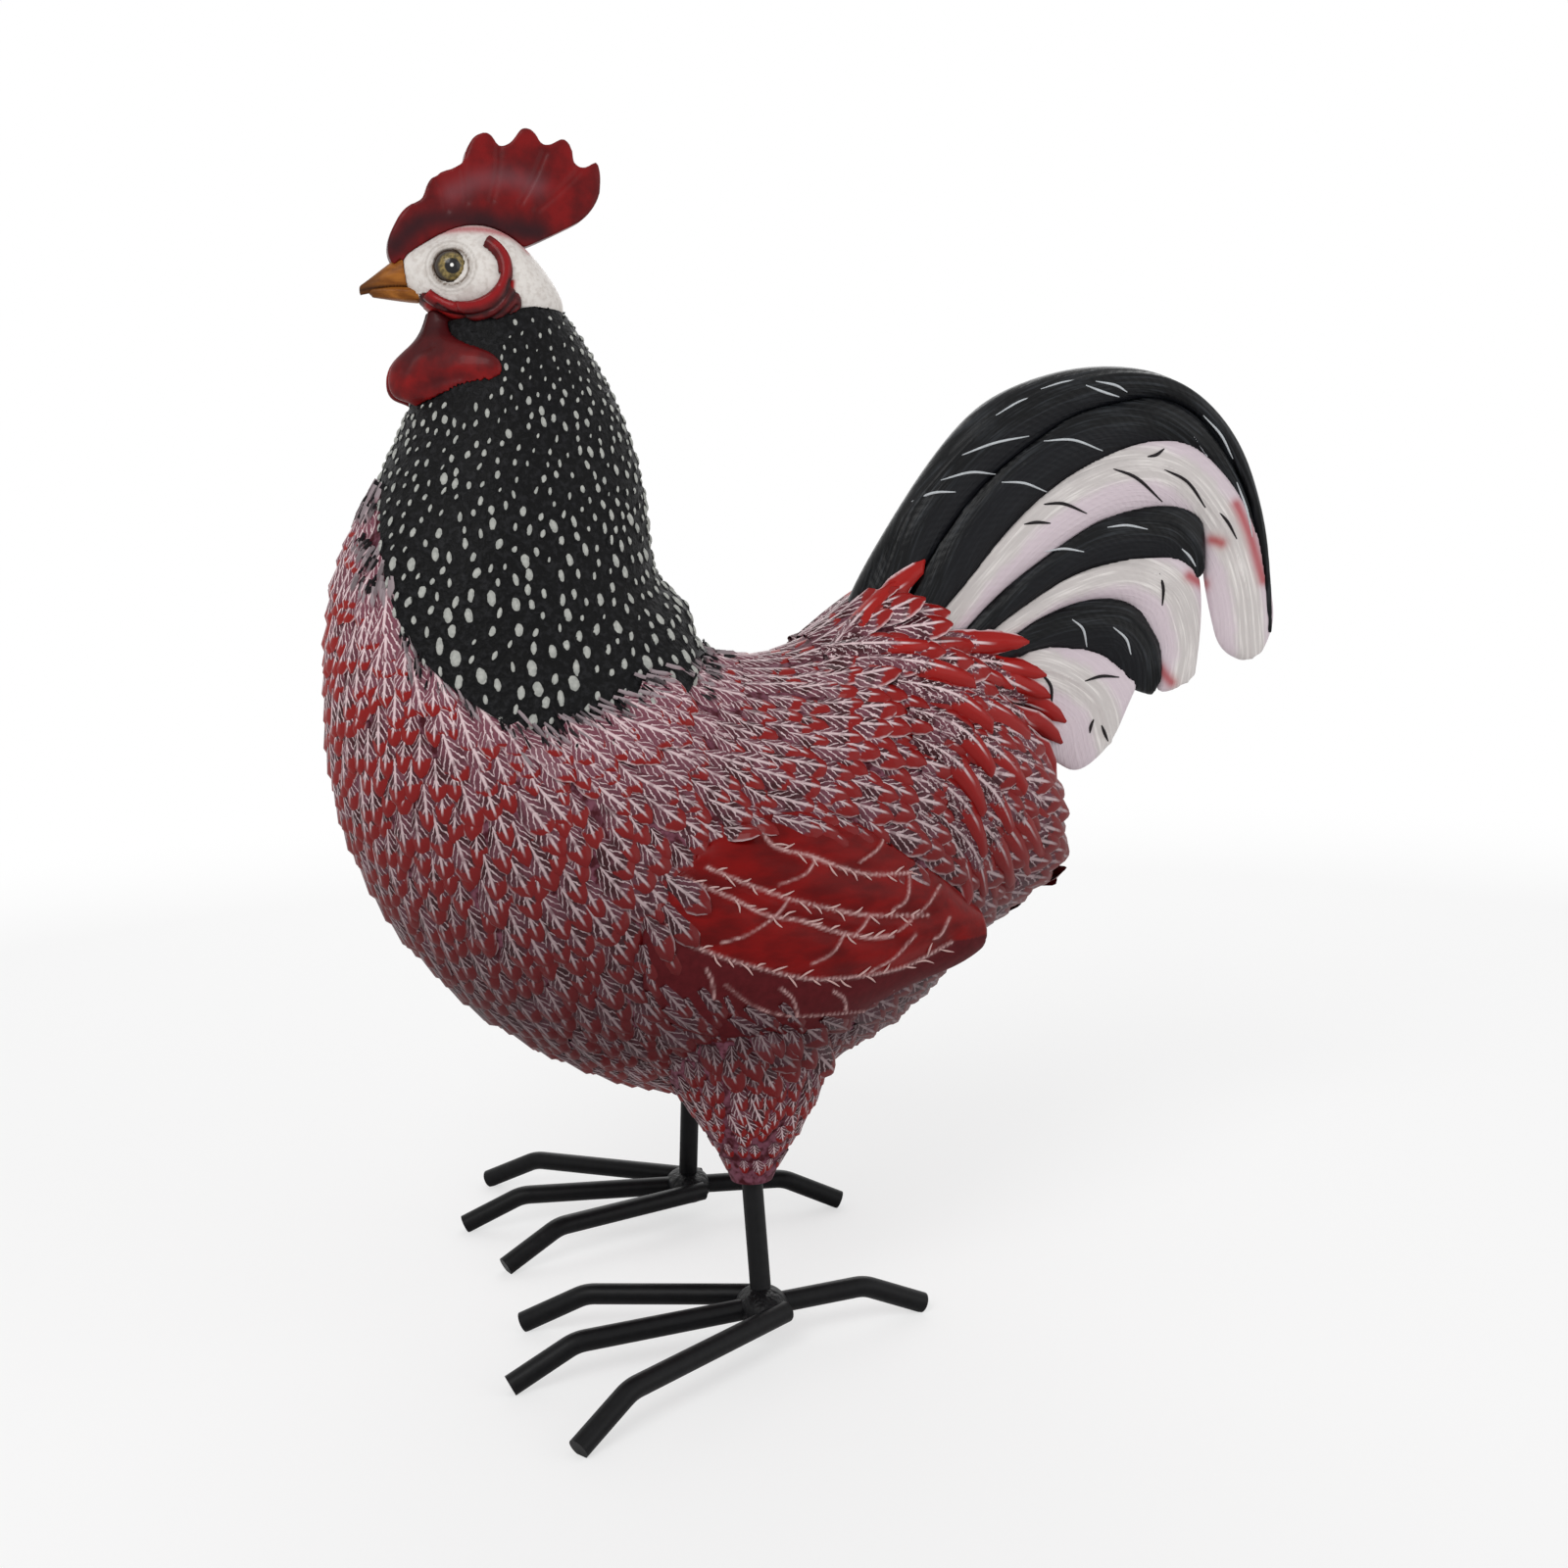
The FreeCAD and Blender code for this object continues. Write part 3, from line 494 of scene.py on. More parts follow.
# %% A recipe
class Recipe(Tree):
    """A Geometry Nodes tree with named inputs."""

    def __init__(self, name, inputs):
        super().__init__(bpy.data.node_groups.new(name, "GeometryNodeTree"))
        for label, kind in {"Geometry": "Geometry", **inputs}.items():
            self.tree.interface.new_socket(label, in_out="INPUT", socket_type="NodeSocket" + kind)
        self.tree.interface.new_socket("Geometry", in_out="OUTPUT", socket_type="NodeSocketGeometry")
        self.given = self.node("NodeGroupInput").outputs
        self.result = self.node("NodeGroupOutput").inputs[0]

    def field(self, name, kind="FLOAT_VECTOR"):
        return self.node("GeometryNodeInputNamedAttribute", {"Name": name}, data_type=kind).outputs[0]

    def chance(self, low, high, seed):
        """A random number for each point, between low and high."""
        made = self.node("FunctionNodeRandomValue", {"Seed": seed}, data_type="FLOAT")
        self.put(made.inputs[2], low)
        self.put(made.inputs[3], high)
        return made.outputs[1]

    def keep(self, geometry, material):
        """The ending of every recipe: real faces, with their paint."""
        real = self.node("GeometryNodeRealizeInstances", {0: geometry}).outputs[0]
        painted = self.node("GeometryNodeSetMaterial", {"Geometry": real, "Material": material})
        self.put(self.result, painted.outputs[0])


# %% The recipe that lays feathers
def feather_recipe():
    recipe = Recipe("lay_feathers", {
        "Feather": "Object", "Lift": "Float", "Twist": "Float", "Variation": "Float",
        "Seed": "Int", "Material": "Material",
    })
    given = recipe.given
    shade = recipe.chance(0.0, 1.0, given["Seed"])
    shaded = recipe.node(
        "GeometryNodeStoreNamedAttribute",
        {"Geometry": given["Geometry"], "Name": "shade", "Value": shade}, data_type="FLOAT", domain="POINT",
    ).outputs[0]
    upright = recipe.node("FunctionNodeAlignRotationToVector", {"Vector": recipe.field("up")}, axis="Z")
    pointed = recipe.node(
        "FunctionNodeAlignRotationToVector",
        {"Rotation": upright.outputs[0], "Vector": recipe.field("flow")},
        axis="X", pivot_axis="Z",
    )
    turn = recipe.node("ShaderNodeCombineXYZ", {
        "Y": recipe.calc("MULTIPLY", given["Lift"], -1.0),
        "Z": recipe.chance(recipe.calc("MULTIPLY", given["Twist"], -1.0), given["Twist"], given["Seed"]),
    }).outputs[0]
    spin = recipe.node("FunctionNodeEulerToRotation", {0: turn}).outputs[0]
    laid = recipe.node(
        "FunctionNodeRotateRotation", {0: pointed.outputs[0], 1: spin}, rotation_space="LOCAL"
    ).outputs[0]
    least = recipe.calc("SUBTRACT", 1.0, given["Variation"])
    varied = recipe.chance(least, recipe.calc("ADD", 1.0, given["Variation"]), given["Seed"])
    size = recipe.node(
        "ShaderNodeVectorMath", {0: recipe.field("span"), "Scale": varied}, operation="SCALE"
    ).outputs[0]
    feather = recipe.node("GeometryNodeObjectInfo", {"Object": given["Feather"]}).outputs["Geometry"]
    placed = recipe.node("GeometryNodeInstanceOnPoints", {
        "Points": shaded, "Instance": feather, "Rotation": laid, "Scale": size,
    }).outputs[0]
    recipe.keep(placed, given["Material"])
    return recipe


# %% Running a recipe
def points_mesh(name, places, **vectors):
    """A mesh of loose points that carry a vector each under these names."""
    mesh = bpy.data.meshes.new(name)
    mesh.from_pydata([tuple(place) for place in places], [], [])
    for label, values in vectors.items():
        mesh.attributes.new(label, "FLOAT_VECTOR", "POINT").data.foreach_set("vector", np.ravel(values))
    return mesh


def grow(name, recipe, carrier, slot, **values):
    """Runs a recipe on a carrier mesh and keeps the result as one plain piece."""
    bearer = bpy.data.objects.new(name + "_bearer", carrier)
    bpy.context.collection.objects.link(bearer)
    modifier = bearer.modifiers.new(name, "NODES")
    modifier.node_group = recipe.tree
    for item in recipe.tree.interface.items_tree:
        if item.in_out == "INPUT" and item.name in values:
            modifier[item.identifier] = values[item.name]
    depsgraph = bpy.context.evaluated_depsgraph_get()
    mesh = bpy.data.meshes.new_from_object(
        bearer.evaluated_get(depsgraph), preserve_all_data_layers=True, depsgraph=depsgraph
    )
    bpy.data.objects.remove(bearer)
    settle(name, mesh)


def settle(name, mesh):
    """Links a finished mesh as a piece of the bird."""
    mesh.name = name
    piece = bpy.data.objects.new(name, mesh)
    bpy.context.collection.objects.link(piece)
    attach(piece, "root")
    print(name, len(mesh.polygons), "faces")
    return piece


lay_feathers = feather_recipe()

# %% [markdown]
# ## Feather paint
#
# The painter first covered the body in dark red, then dragged a nearly dry pale brush across it, so
# the pale paint caught the shafts, the barbs and the rims and left the smooth tips red. The paint
# below does the same with the feather's own UV map: a line along the shaft, slanting barbs that stop
# before the tip, a thin rim, all broken up by noise. Beside the cape the brush was fuller. Each
# feather carries that as an attribute called dust. Towards the belly everything turns darker: that is
# painted shade under the body, weaker low on the thighs.

# %% Dry-brushed feather paint
RED = rgb(140, 17, 14)
BRIGHT_RED = rgb(156, 21, 16)
DEEP_RED = rgb(54, 9, 15)
MAUVE = rgb(130, 76, 90)
DUSTY = rgb(230, 204, 207)
# The colour of the painted shade under the belly.
BELLY_SHADE = rgb(40, 14, 20)
BELLY_HEIGHTS, THIGH_HEIGHTS = (0.09, 0.21), (0.06, 0.09)
BARB_EDGE, SHAFT_EDGE, RIM_EDGE = (0.08, 0.17), (0.05, 0.15), (0.8, 0.98)


def feather_paint(name, red, barbs=4.8, slant=0.5, tip=0.62, rim=0.75):
    """A red feather with pale shaft and barbs. tip is where along the feather the barbs end."""
    paint = Paint(name)
    across, along, _ = paint.xyz(paint.uv())
    shade, dust = paint.attribute("shade"), paint.attribute("dust")
    grain = paint.noise(1.1 * MM, 2.0)
    side = paint.calc("ABSOLUTE", paint.calc("MULTIPLY_ADD", across, 2.0, -1.0))
    wave = paint.calc("MULTIPLY_ADD", grain, 0.16, paint.calc("MULTIPLY_ADD", side, -slant, along))
    tooth = paint.calc("SUBTRACT", paint.calc("FRACT", paint.calc("MULTIPLY", wave, barbs)), 0.5)
    barb = paint.ramp(paint.calc("ABSOLUTE", tooth), *BARB_EDGE, 1.0, 0.0)
    end = paint.calc("MULTIPLY_ADD", dust, 0.24, paint.calc("MULTIPLY_ADD", shade, 0.26, tip - 0.13))
    wavy = paint.calc("MULTIPLY_ADD", side, 0.18, paint.calc("MULTIPLY_ADD", grain, 0.2, along))
    before_tip = paint.ramp(paint.calc("SUBTRACT", wavy, end), 0.06, 0.16, 1.0, 0.0)
    short = paint.ramp(paint.calc("SUBTRACT", along, end), 0.0, 0.2, 1.0, 0.0)
    shaft = paint.calc("MULTIPLY", paint.ramp(side, *SHAFT_EDGE, 1.0, 0.0), short)
    barbed = paint.calc("MAXIMUM", paint.calc("MULTIPLY", barb, before_tip), shaft)
    pattern = paint.calc("MAXIMUM", barbed, paint.calc("MULTIPLY", paint.ramp(side, *RIM_EDGE), rim))
    broken = paint.calc("MULTIPLY", pattern, paint.ramp(paint.noise(2.6 * MM), 0.30, 0.52, 0.35, 1.0))
    wash = paint.ramp(paint.noise(6 * MM), 0.35, 0.65, 0.0, 0.75)
    ground = paint.mix(paint.calc("MAXIMUM", wash, paint.calc("MULTIPLY", dust, 0.85)), DEEP_RED, MAUVE)
    body = paint.mix(paint.ramp(before_tip, 0.0, 1.0, 1.0, 0.0), ground, red)
    # Painted shade: the colour darkens towards the belly, and less so low on the thighs.
    height = paint.xyz(paint.place())[2]
    low = paint.ramp(height, *BELLY_HEIGHTS, 0.76, 0.0)
    belly_shade = paint.calc("MULTIPLY", low, paint.ramp(height, *THIGH_HEIGHTS, 0.35, 1.0))
    colour = paint.mix(belly_shade, paint.mix(broken, body, DUSTY), BELLY_SHADE)
    shine = paint.calc("MULTIPLY_ADD", broken, 0.3, 0.5)
    return paint.finish(colour, shine, bump=pattern, depth=0.18 * MM, coat=0.15)


red_feather_paint = feather_paint("red_feather_paint", RED)
long_feather_paint = feather_paint(
    "long_feather_paint", BRIGHT_RED, barbs=11.0, slant=0.22, tip=0.6, rim=0.9,
)


# %% The ground that shows between the feathers
def ground_paint():
    paint = Paint("red_ground_paint")
    blotch = paint.noise(2.0 * MM)
    colour = paint.blend(blotch, 0.35, 0.65, rgb(60, 12, 20), rgb(112, 66, 80))
    return paint.finish(colour, 0.6, bump=blotch, depth=0.3 * MM)


def repaint(node, material):
    """Gives a piece of the frame its paint."""
    NODES[node].data.materials.clear()
    NODES[node].data.materials.append(material)


repaint("body_casting", ground_paint())
print("red paints ready")

# %% [markdown]
# ## Body feathers
#
# The measure for the rows is the distance from a point in the throat, seen from the side. The thighs
# are another carving: their feathers hang straight down, so they get rows of their own by height.

# %% The trunk and the thighs
THROAT = on_middle_plane(400, 545)
THIGH_FOOT = Vector((-37.9, 42.0, 46.0)) * MM
THIGH_SLOPE = 0.62
THIGH_FOOT_RADIUS = 9 * MM
THIGH_TOP = 84 * MM
THIGH_OVERLAP = 9 * MM
THIGH_HEM = 5.5 * MM
CAPE_MARGIN = 1.5 * MM
cover_of_body = all_but("body_casting")


def from_throat(points):
    """The distance from the throat, seen from the side. Above the throat it goes on growing downwards."""
    across, rise = points[..., 0] - THROAT.x, points[..., 2] - THROAT.z
    return np.where(rise < 0, np.hypot(across, rise), abs(across) - rise)


def from_cape(point):
    """The distance from the cape."""
    return cape_skin.tree.find_nearest(Vector(point))[3]


def on_thigh(point, spare=0.0):
    """True inside the cone that holds a thigh, with some room to spare."""
    radius = THIGH_FOOT_RADIUS + THIGH_SLOPE * (point[2] - THIGH_FOOT.z) + spare
    aside = math.hypot(point[0] - THIGH_FOOT.x, abs(point[1]) - THIGH_FOOT.y)
    return point[2] < THIGH_TOP + 2 * spare and aside < radius


def trunk_keep(point, normal):
    """Off the thigh, in the open, and not on the rim beside the cape, where normals turn."""
    return not on_thigh(point) and from_cape(point) >= CAPE_MARGIN and outside(cover_of_body, point, normal)


def thigh_keep(point, normal):
    """On the thigh, above its hem and in the open."""
    above_hem = point[2] > THIGH_FOOT.z + THIGH_HEM
    return above_hem and on_thigh(point, THIGH_OVERLAP) and outside(cover_of_body, point, normal)


# %% Where their feathers go
ROW_GAP, FEATHER_STEP = 6.6 * MM, 5.6 * MM
THIGH_ROW_GAP, THIGH_STEP = 5.2 * MM, 4.4 * MM
SADDLE_OUTLINE = [(895, 600), (945, 572), (1055, 655), (1095, 750), (1090, 835), (1068, 890), (1000, 932),
                  (985, 870), (1000, 800), (985, 720), (940, 680)]
UNDER_SADDLE = 0.9 * MM

trunk_places = rows_of_places(body_skin, from_throat, ROW_GAP, FEATHER_STEP, trunk_keep)
under = inside(SADDLE_OUTLINE, photo_pixels([point for point, _ in trunk_places]))
trunk_places = [
    (point - normal * UNDER_SADDLE * sunk, normal) for (point, normal), sunk in zip(trunk_places, under)
]
thigh_places = rows_of_places(
    body_skin, lambda points: -points[..., 2], THIGH_ROW_GAP, THIGH_STEP, thigh_keep,
)
print(len(trunk_places), "trunk feathers,", len(thigh_places), "thigh feathers")

# %% Laying them
DUST_REACH = 11 * MM
BODY_WIDTHS = (0.26, 0.40, 0.50, 0.56, 0.52, 0.38, 0.12)
BODY_FEATHER = shield("body_feather", BODY_WIDTHS, crown=0.10, shaft=0.05, skirt=0.10)


def lay(name, places, flow_of, span_of, material, slot, seed, feather=BODY_FEATHER, lift=0.05,
        twist=0.26, variation=0.24):
    """Lays feathers at these places. flow_of and span_of work on an array of points.

    dust is 1 at the edge of the cape and fades over a few feathers."""
    points, normals = (np.array(column) for column in zip(*places))
    dust = np.exp(-((np.array([from_cape(point) for point in points]) / DUST_REACH) ** 2))
    carrier = points_mesh(
        name + "_points", points, up=normals, flow=flow_of(points), span=span_of(points),
        dust=np.repeat(dust[:, None], 3, axis=1),
    )
    bpy.context.collection.objects.link(feather)
    grow(name, lay_feathers, carrier, slot, Feather=feather, Lift=lift, Twist=twist,
         Variation=variation, Seed=seed, Material=material)
    bpy.context.collection.objects.unlink(feather)


# %% The way they point, and their sizes
DOWN_THE_THIGH = (0.12, 0.0, -1.0)
RUMP_STARTS, RUMP_REACH = -20 * MM, 70 * MM
TRUNK_FEATHER, THIGH_FEATHER = np.array((12.6, 7.0, 6.0)) * MM, np.array((10.0, 4.8, 5.0)) * MM
THIGH_GROWTH = 30 * MM


def away_from_throat(points):
    """The direction in which the measure grows."""
    flow = points - np.array(THROAT)
    above = flow[:, 2] >= 0
    back = np.where(flow[above, 0] > 0, 1.0, -0.1)
    flow[above] = np.stack([back, 0 * back, -np.ones(above.sum())], 1)
    flow[:, 1] = 0
    return flow / np.linalg.norm(flow, axis=1)[:, None]


def the_same(*vector):
    """The same vector for every point."""
    return lambda points: np.tile(vector, (len(points), 1))


def grown(share, feather, widening):
    """Sizes of a feather by its share of the full length. The width follows less than the length."""
    return np.stack([share, share ** widening, np.ones(len(share))], 1) * feather


def trunk_span(points):
    """Half as long again at the rump as at the breast, and hardly wider."""
    return grown(1 + 0.5 * np.clip((points[:, 0] - RUMP_STARTS) / RUMP_REACH, 0, 1), TRUNK_FEATHER, 0.4)


def thigh_span(points):
    """Shorter and flatter towards the foot of the thigh."""
    share = np.clip((points[:, 2] - THIGH_FOOT.z) / THIGH_GROWTH, 0.6, 1)
    return grown(share, THIGH_FEATHER, 0.5) * np.stack([np.ones(len(share)), np.ones(len(share)), share], 1)


# %% [markdown]
# ## Over the edge of the cape
#
# The red feathers don't stop at the cape. The first row climbs its edge, and behind the neck a strip
# of the cape lies under them, up to the hem that the photograph shows.

# %% Feathers that climb the cape
CLIMB, CAPE_NEAR, PROUD = 5.5 * MM, 4.5 * MM, 0.2 * MM
HEM_ROW_GAP = ROW_GAP / 2.5
REAR_RIM = 0.35
CAPE_HEM = [(395, 614), (408, 678), (457, 705), (506, 731), (571, 737), (625, 716), (679, 678), (700, 655)]
CAPE_APRON = CAPE_HEM + [(700, 900), (380, 900), (380, 614)]
cover_of_cape = all_but("neck_cape")


def stepped_back(places, step):
    """The same places moved against the flow of the feathers, each with its direction."""
    moved = []
    for (point, normal), flow in zip(places, away_from_throat(np.array([point for point, _ in places]))):
        along = flow - normal * (flow @ normal)
        along /= np.linalg.norm(along)
        moved.append((point - along * step, normal, along))
    return moved


def apron_keep(point, normal):
    """On the part of the cape that lies under red feathers in the photograph, and not on its rear rim."""
    if normal[0] > REAR_RIM or not inside(CAPE_APRON, photo_pixels([point]))[0]:
        return False
    return outside(cover_of_cape, point, normal)


collar = [
    (point + normal * PROUD, normal, along)
    for point, normal, along in stepped_back(trunk_places, CLIMB)
    if from_cape(point) < CAPE_NEAR
]
apron = rows_of_places(cape_skin, from_throat, HEM_ROW_GAP, FEATHER_STEP, apron_keep)
trunk_places += [(point, normal) for point, normal, _ in collar]
trunk_places += [(point + normal * PROUD, normal) for point, normal in apron]
print(len(collar), "feathers climb the edge of the cape,", len(apron), "more lie on it")

# %% The places along the hem, where the cape frays
HEM_REACH = 3.0 * MM
hem = np.array(smooth_line(CAPE_HEM, 20))
buried = inside(CAPE_APRON, photo_pixels([point for point, _, _ in collar]))
frayed = [place for place, under in zip(collar, buried) if not under]
frayed += [
    place for place in stepped_back(apron, 0)
    if np.linalg.norm(hem - photo_pixels([place[0]]), axis=1).min() / PIXELS_PER_METRE < HEM_REACH
]
print(len(frayed), "places on the frayed hem")

# %% Flank and thigh feathers
for side, name in ((-1, "left"), (1, "right")):
    flank, thigh = (
        [place for place in places if place[0][1] * side >= 0] for places in (trunk_places, thigh_places)
    )
    lay(name + "_flank_feathers", flank, away_from_throat, trunk_span, red_feather_paint, "red_plumage",
        seed=2 + side)
    lay(name + "_thigh_feathers", thigh, the_same(*DOWN_THE_THIGH), thigh_span, red_feather_paint,
        "red_plumage", lift=0.0, seed=5 + side)

# %% [markdown]
# ## Saddle feathers
#
# Behind the wing the long pointed saddle feathers fan out over the root of the tail. Each one follows
# the surface, so each is a ribbon built along its own path: the photograph shows where its tip is, and
# the path runs from the tip towards the place in the back where all of them are rooted. They lie in
# tiers, and each tier covers the roots of the one behind it.

# %% A ribbon along a path on the surface
RIBBON_COLUMNS = 5
RIBBON_HEM = -0.3 * MM


class Ribbons:
    """Feathers that follow a path each, gathered into one mesh."""

    def __init__(self, mirrored):
        """mirrored puts them on the far side."""
        self.mirrored = mirrored
        self.points, self.faces, self.coordinates, self.shades = [], [], [], []

    def add(self, places, normals, half_widths, base, tip_rise, crown):
        """base and tip_rise say how high the root and the tip lie over the surface."""
        start = len(self.points)
        flip = np.array([1, -1 if self.mirrored else 1, 1])
        shade = rng.random()
        tangents = np.gradient(places, axis=0)
        rows = len(places)
        for row in range(rows):
            normal = normals[row] / np.linalg.norm(normals[row])
            side = np.cross(normal, tangents[row])
            side /= np.linalg.norm(side)
            along = row / (rows - 1)
            for share in np.linspace(-1, 1, RIBBON_COLUMNS):
                height = base + tip_rise * along + crown * (1 - share * share)
                if abs(share) == 1 or row == rows - 1:
                    height = RIBBON_HEM
                point = places[row] + side * share * half_widths[row] + normal * height
                self.points.append(point * flip)
                self.coordinates.append((share / 2 + 0.5, along))
                self.shades.append(shade)
        for row in range(rows - 1):
            for column in range(RIBBON_COLUMNS - 1):
                first = start + row * RIBBON_COLUMNS + column
                face = (first, first + 1, first + RIBBON_COLUMNS + 1, first + RIBBON_COLUMNS)
                self.faces.append(face if self.mirrored else face[::-1])

    def finish(self, name, slot, material):
        mesh = smooth_mesh(name, self.points, self.faces, self.coordinates)
        mesh.attributes.new("shade", "FLOAT", "POINT").data.foreach_set("value", self.shades)
        mesh.materials.append(material)
        settle(name, mesh)


# %% The path of a saddle feather
SADDLE_ROOT = (850, 668)
SADDLE_TIPS = (
    [(930, 596), (1024, 652), (1070, 690), (1090, 738), (1092, 796), (1078, 858), (1050, 902),
     (1014, 926), (986, 930)],
    [(945, 570), (1052, 655), (1074, 712), (1086, 760), (1083, 830), (1062, 885), (1030, 912), (1000, 925)],
    [(920, 590), (1000, 662), (1040, 706), (1052, 762), (1046, 818), (1030, 858), (1000, 884)],
    [(955, 665), (998, 705), (1014, 752), (1012, 800), (1000, 842)],
)
SADDLE_LENGTH = 32 * MM
SADDLE_BOW, SADDLE_STRAIGHT_ABOVE, SADDLE_BENT_WITHIN = 20, 640, 150
NEAR_SIDE = Vector((0, -20 * MM, 0))


def nearest_on_bird(pixel_x, pixel_y):
    """The place at this pixel, or past the outline the nearest place of the surface."""
    found = pinned(pixel_x, pixel_y, bird_skin)
    return found or bird_skin.tree.find_nearest(on_middle_plane(pixel_x, pixel_y) + NEAR_SIDE)[:2]


def saddle_path(tip):
    """Nine places from the covered root of a feather to its tip, bowed more the lower it lies."""
    tip, root = np.array(tip, float), np.array(SADDLE_ROOT, float)
    back = (root - tip) / np.linalg.norm(root - tip)
    bend = np.clip((tip[1] - SADDLE_STRAIGHT_ABOVE) / SADDLE_BENT_WITHIN, 0, 1)
    bow = np.array([-back[1], back[0]]) * SADDLE_BOW * bend
    reach = back * SADDLE_LENGTH * PIXELS_PER_METRE
    found = []
    for share in np.linspace(0, 1, 9):
        pixel = tip + reach * (1 - share) + bow * math.sin(math.pi * share)
        found.append(nearest_on_bird(*pixel))
    places, normals = (np.array(column) for column in zip(*found))
    for _ in range(2):
        for line in (places, normals):
            line[1:-1] = (line[:-2] + 2 * line[1:-1] + line[2:]) / 4
    return places, normals


# %% The saddle, tier by tier
SADDLE_HALF_WIDTHS = np.array((0.35, 0.62, 0.85, 1.0, 1.0, 0.93, 0.78, 0.55, 0.10)) * 4.4 * MM
SADDLE_BASE, SADDLE_STEP = 1.0 * MM, 0.6 * MM
SADDLE_TIP_RISE, SADDLE_CROWN = 0.5 * MM, 0.7 * MM

for far, name in ((False, "left_saddle_feathers"), (True, "right_saddle_feathers")):
    saddle = Ribbons(far)
    for tier, tips in enumerate(SADDLE_TIPS):
        for tip in tips:
            base = SADDLE_BASE + SADDLE_STEP * tier
            saddle.add(*saddle_path(tip), SADDLE_HALF_WIDTHS, base, SADDLE_TIP_RISE, SADDLE_CROWN)
    saddle.finish(name, "red_plumage", long_feather_paint)

# %% [markdown]
# ## The cape
#
# The neck is covered by a black cape of small pebbles. Each pebble carries a raised teardrop picked
# out in white, small near the head and larger towards the breast. They lie irregularly, so their
# places come from throwing darts: a dart stays only where it has room around it.

# %% Darts on the cape
PEBBLE_ROOM = (2.6 * MM, 4.2 * MM)
PEBBLE_THROWS = 26000
LOW_ENOUGH = 1.25
BARE_THROAT = [(430, 300), (514, 322), (512, 350), (506, 392), (470, 404), (430, 404)]
CAPE_TOP, CAPE_FOOT = cape_skin.points[:, 2].max(), cape_skin.points[:, 2].min()


def lowness(points):
    """0 at the top of the cape and 1 at its foot."""
    return np.clip((CAPE_TOP - points[..., 2]) / (CAPE_TOP - CAPE_FOOT) * LOW_ENOUGH, 0, 1)


def throw_darts(skin, room, throws, cover):
    """Irregular places on a surface in the open, each as (point, normal)."""
    corners = skin.points[skin.triangles]
    areas = np.linalg.norm(np.cross(corners[:, 1] - corners[:, 0], corners[:, 2] - corners[:, 0]), axis=1)
    picked = rng.choice(len(areas), throws, p=areas / areas.sum())
    first, second = np.sqrt(rng.random(throws)), rng.random(throws)
    shares = np.stack([1 - first, first * (1 - second), first * second], 1)
    darts = (corners[picked] * shares[:, :, None]).sum(1)
    normals = (skin.normals[skin.triangles[picked]] * shares[:, :, None]).sum(1)
    kept = np.zeros((0, 3))
    places = []
    for dart, normal in zip(darts, normals):
        if len(kept) and np.linalg.norm(kept - dart, axis=1).min() < room(dart):
            continue
        normal = normal / np.linalg.norm(normal)
        kept = np.vstack([kept, dart])
        if outside(cover, dart, normal):
            places.append((dart, normal))
    return places


def pebble_room(point):
    """How far a dart has to be from the others."""
    return PEBBLE_ROOM[0] + (PEBBLE_ROOM[1] - PEBBLE_ROOM[0]) * float(lowness(point))


pebble_places = throw_darts(cape_skin, pebble_room, PEBBLE_THROWS, cover_of_cape)
bare = inside(BARE_THROAT, photo_pixels([point for point, _ in pebble_places]))
pebble_places = [place for place, left_out in zip(pebble_places, bare) if not left_out]
print(len(pebble_places), "pebbles on the cape")


# %% One pebble
PEBBLE_RINGS = ((1.0, -0.12), (0.86, 0.10), (0.68, 0.12), (0.60, 0.26), (0.34, 0.38))
PEBBLE_POINT, PEBBLE_TOP = 0.45, 1.15


def pebble_shape(name, rings, segments):
    """A low teardrop dome, point towards -X. rings are pairs of a radius and a height."""
    points, faces = [], []
    for radius, height in rings:
        for turn in np.arange(segments) * 2 * math.pi / segments:
            narrow = 1 - PEBBLE_POINT * max(0.0, -math.cos(turn))
            points.append((radius * math.cos(turn), radius * math.sin(turn) * narrow, height))
    centre = len(points)
    points.append((0, 0, rings[-1][1] * PEBBLE_TOP))
    for first in range(0, centre, segments):
        for segment in range(segments):
            low, following = first + segment, first + (segment + 1) % segments
            if first + segments == centre:
                faces.append((low, following, centre))
            else:
                faces.append((low, following, following + segments, low + segments))
    coordinates = [(x / 2 + 0.5, y / 2 + 0.5) for x, y, _ in points]
    return bpy.data.objects.new(name, smooth_mesh(name, points, faces, coordinates))


PEBBLE = pebble_shape("pebble", PEBBLE_RINGS, 10)


# %% The paints of cape and pebbles
def pebble_paint():
    """White on the raised teardrop, black round it, with a worn edge and a few drops missed."""
    paint = Paint("pebble_paint")
    middle = (0.5, 0.5, 0)
    offset = paint.node("ShaderNodeVectorMath", {0: paint.uv(), 1: middle}, operation="SUBTRACT").outputs[0]
    radius = paint.node("ShaderNodeVectorMath", {0: offset}, operation="LENGTH").outputs["Value"]
    inner = paint.calc("SUBTRACT", radius, 0.06)
    worn = paint.calc("MULTIPLY_ADD", paint.noise(1.3 * MM, 2.0), 0.22, inner)
    edge = paint.calc("MULTIPLY_ADD", paint.attribute("shade"), 0.10, 0.31)
    drop = paint.ramp(paint.calc("SUBTRACT", worn, edge), -0.02, 0.03, 1.0, 0.0)
    white = paint.mix(paint.noise(1.2 * MM, 2.0), rgb(128, 132, 129), rgb(200, 200, 193))
    black = paint.blend(radius, 0.36, 0.44, rgb(6, 6, 7), rgb(26, 26, 28))
    return paint.finish(paint.mix(drop, black, white), 0.5)


def cape_paint():
    paint = Paint("cape_black_paint")
    pebbled = paint.noise(1.6 * MM)
    colour = paint.blend(pebbled, 0.45, 0.7, rgb(6, 6, 7), rgb(27, 27, 29))
    return paint.finish(colour, 0.5, bump=pebbled, depth=0.7 * MM, gloss=0.1)


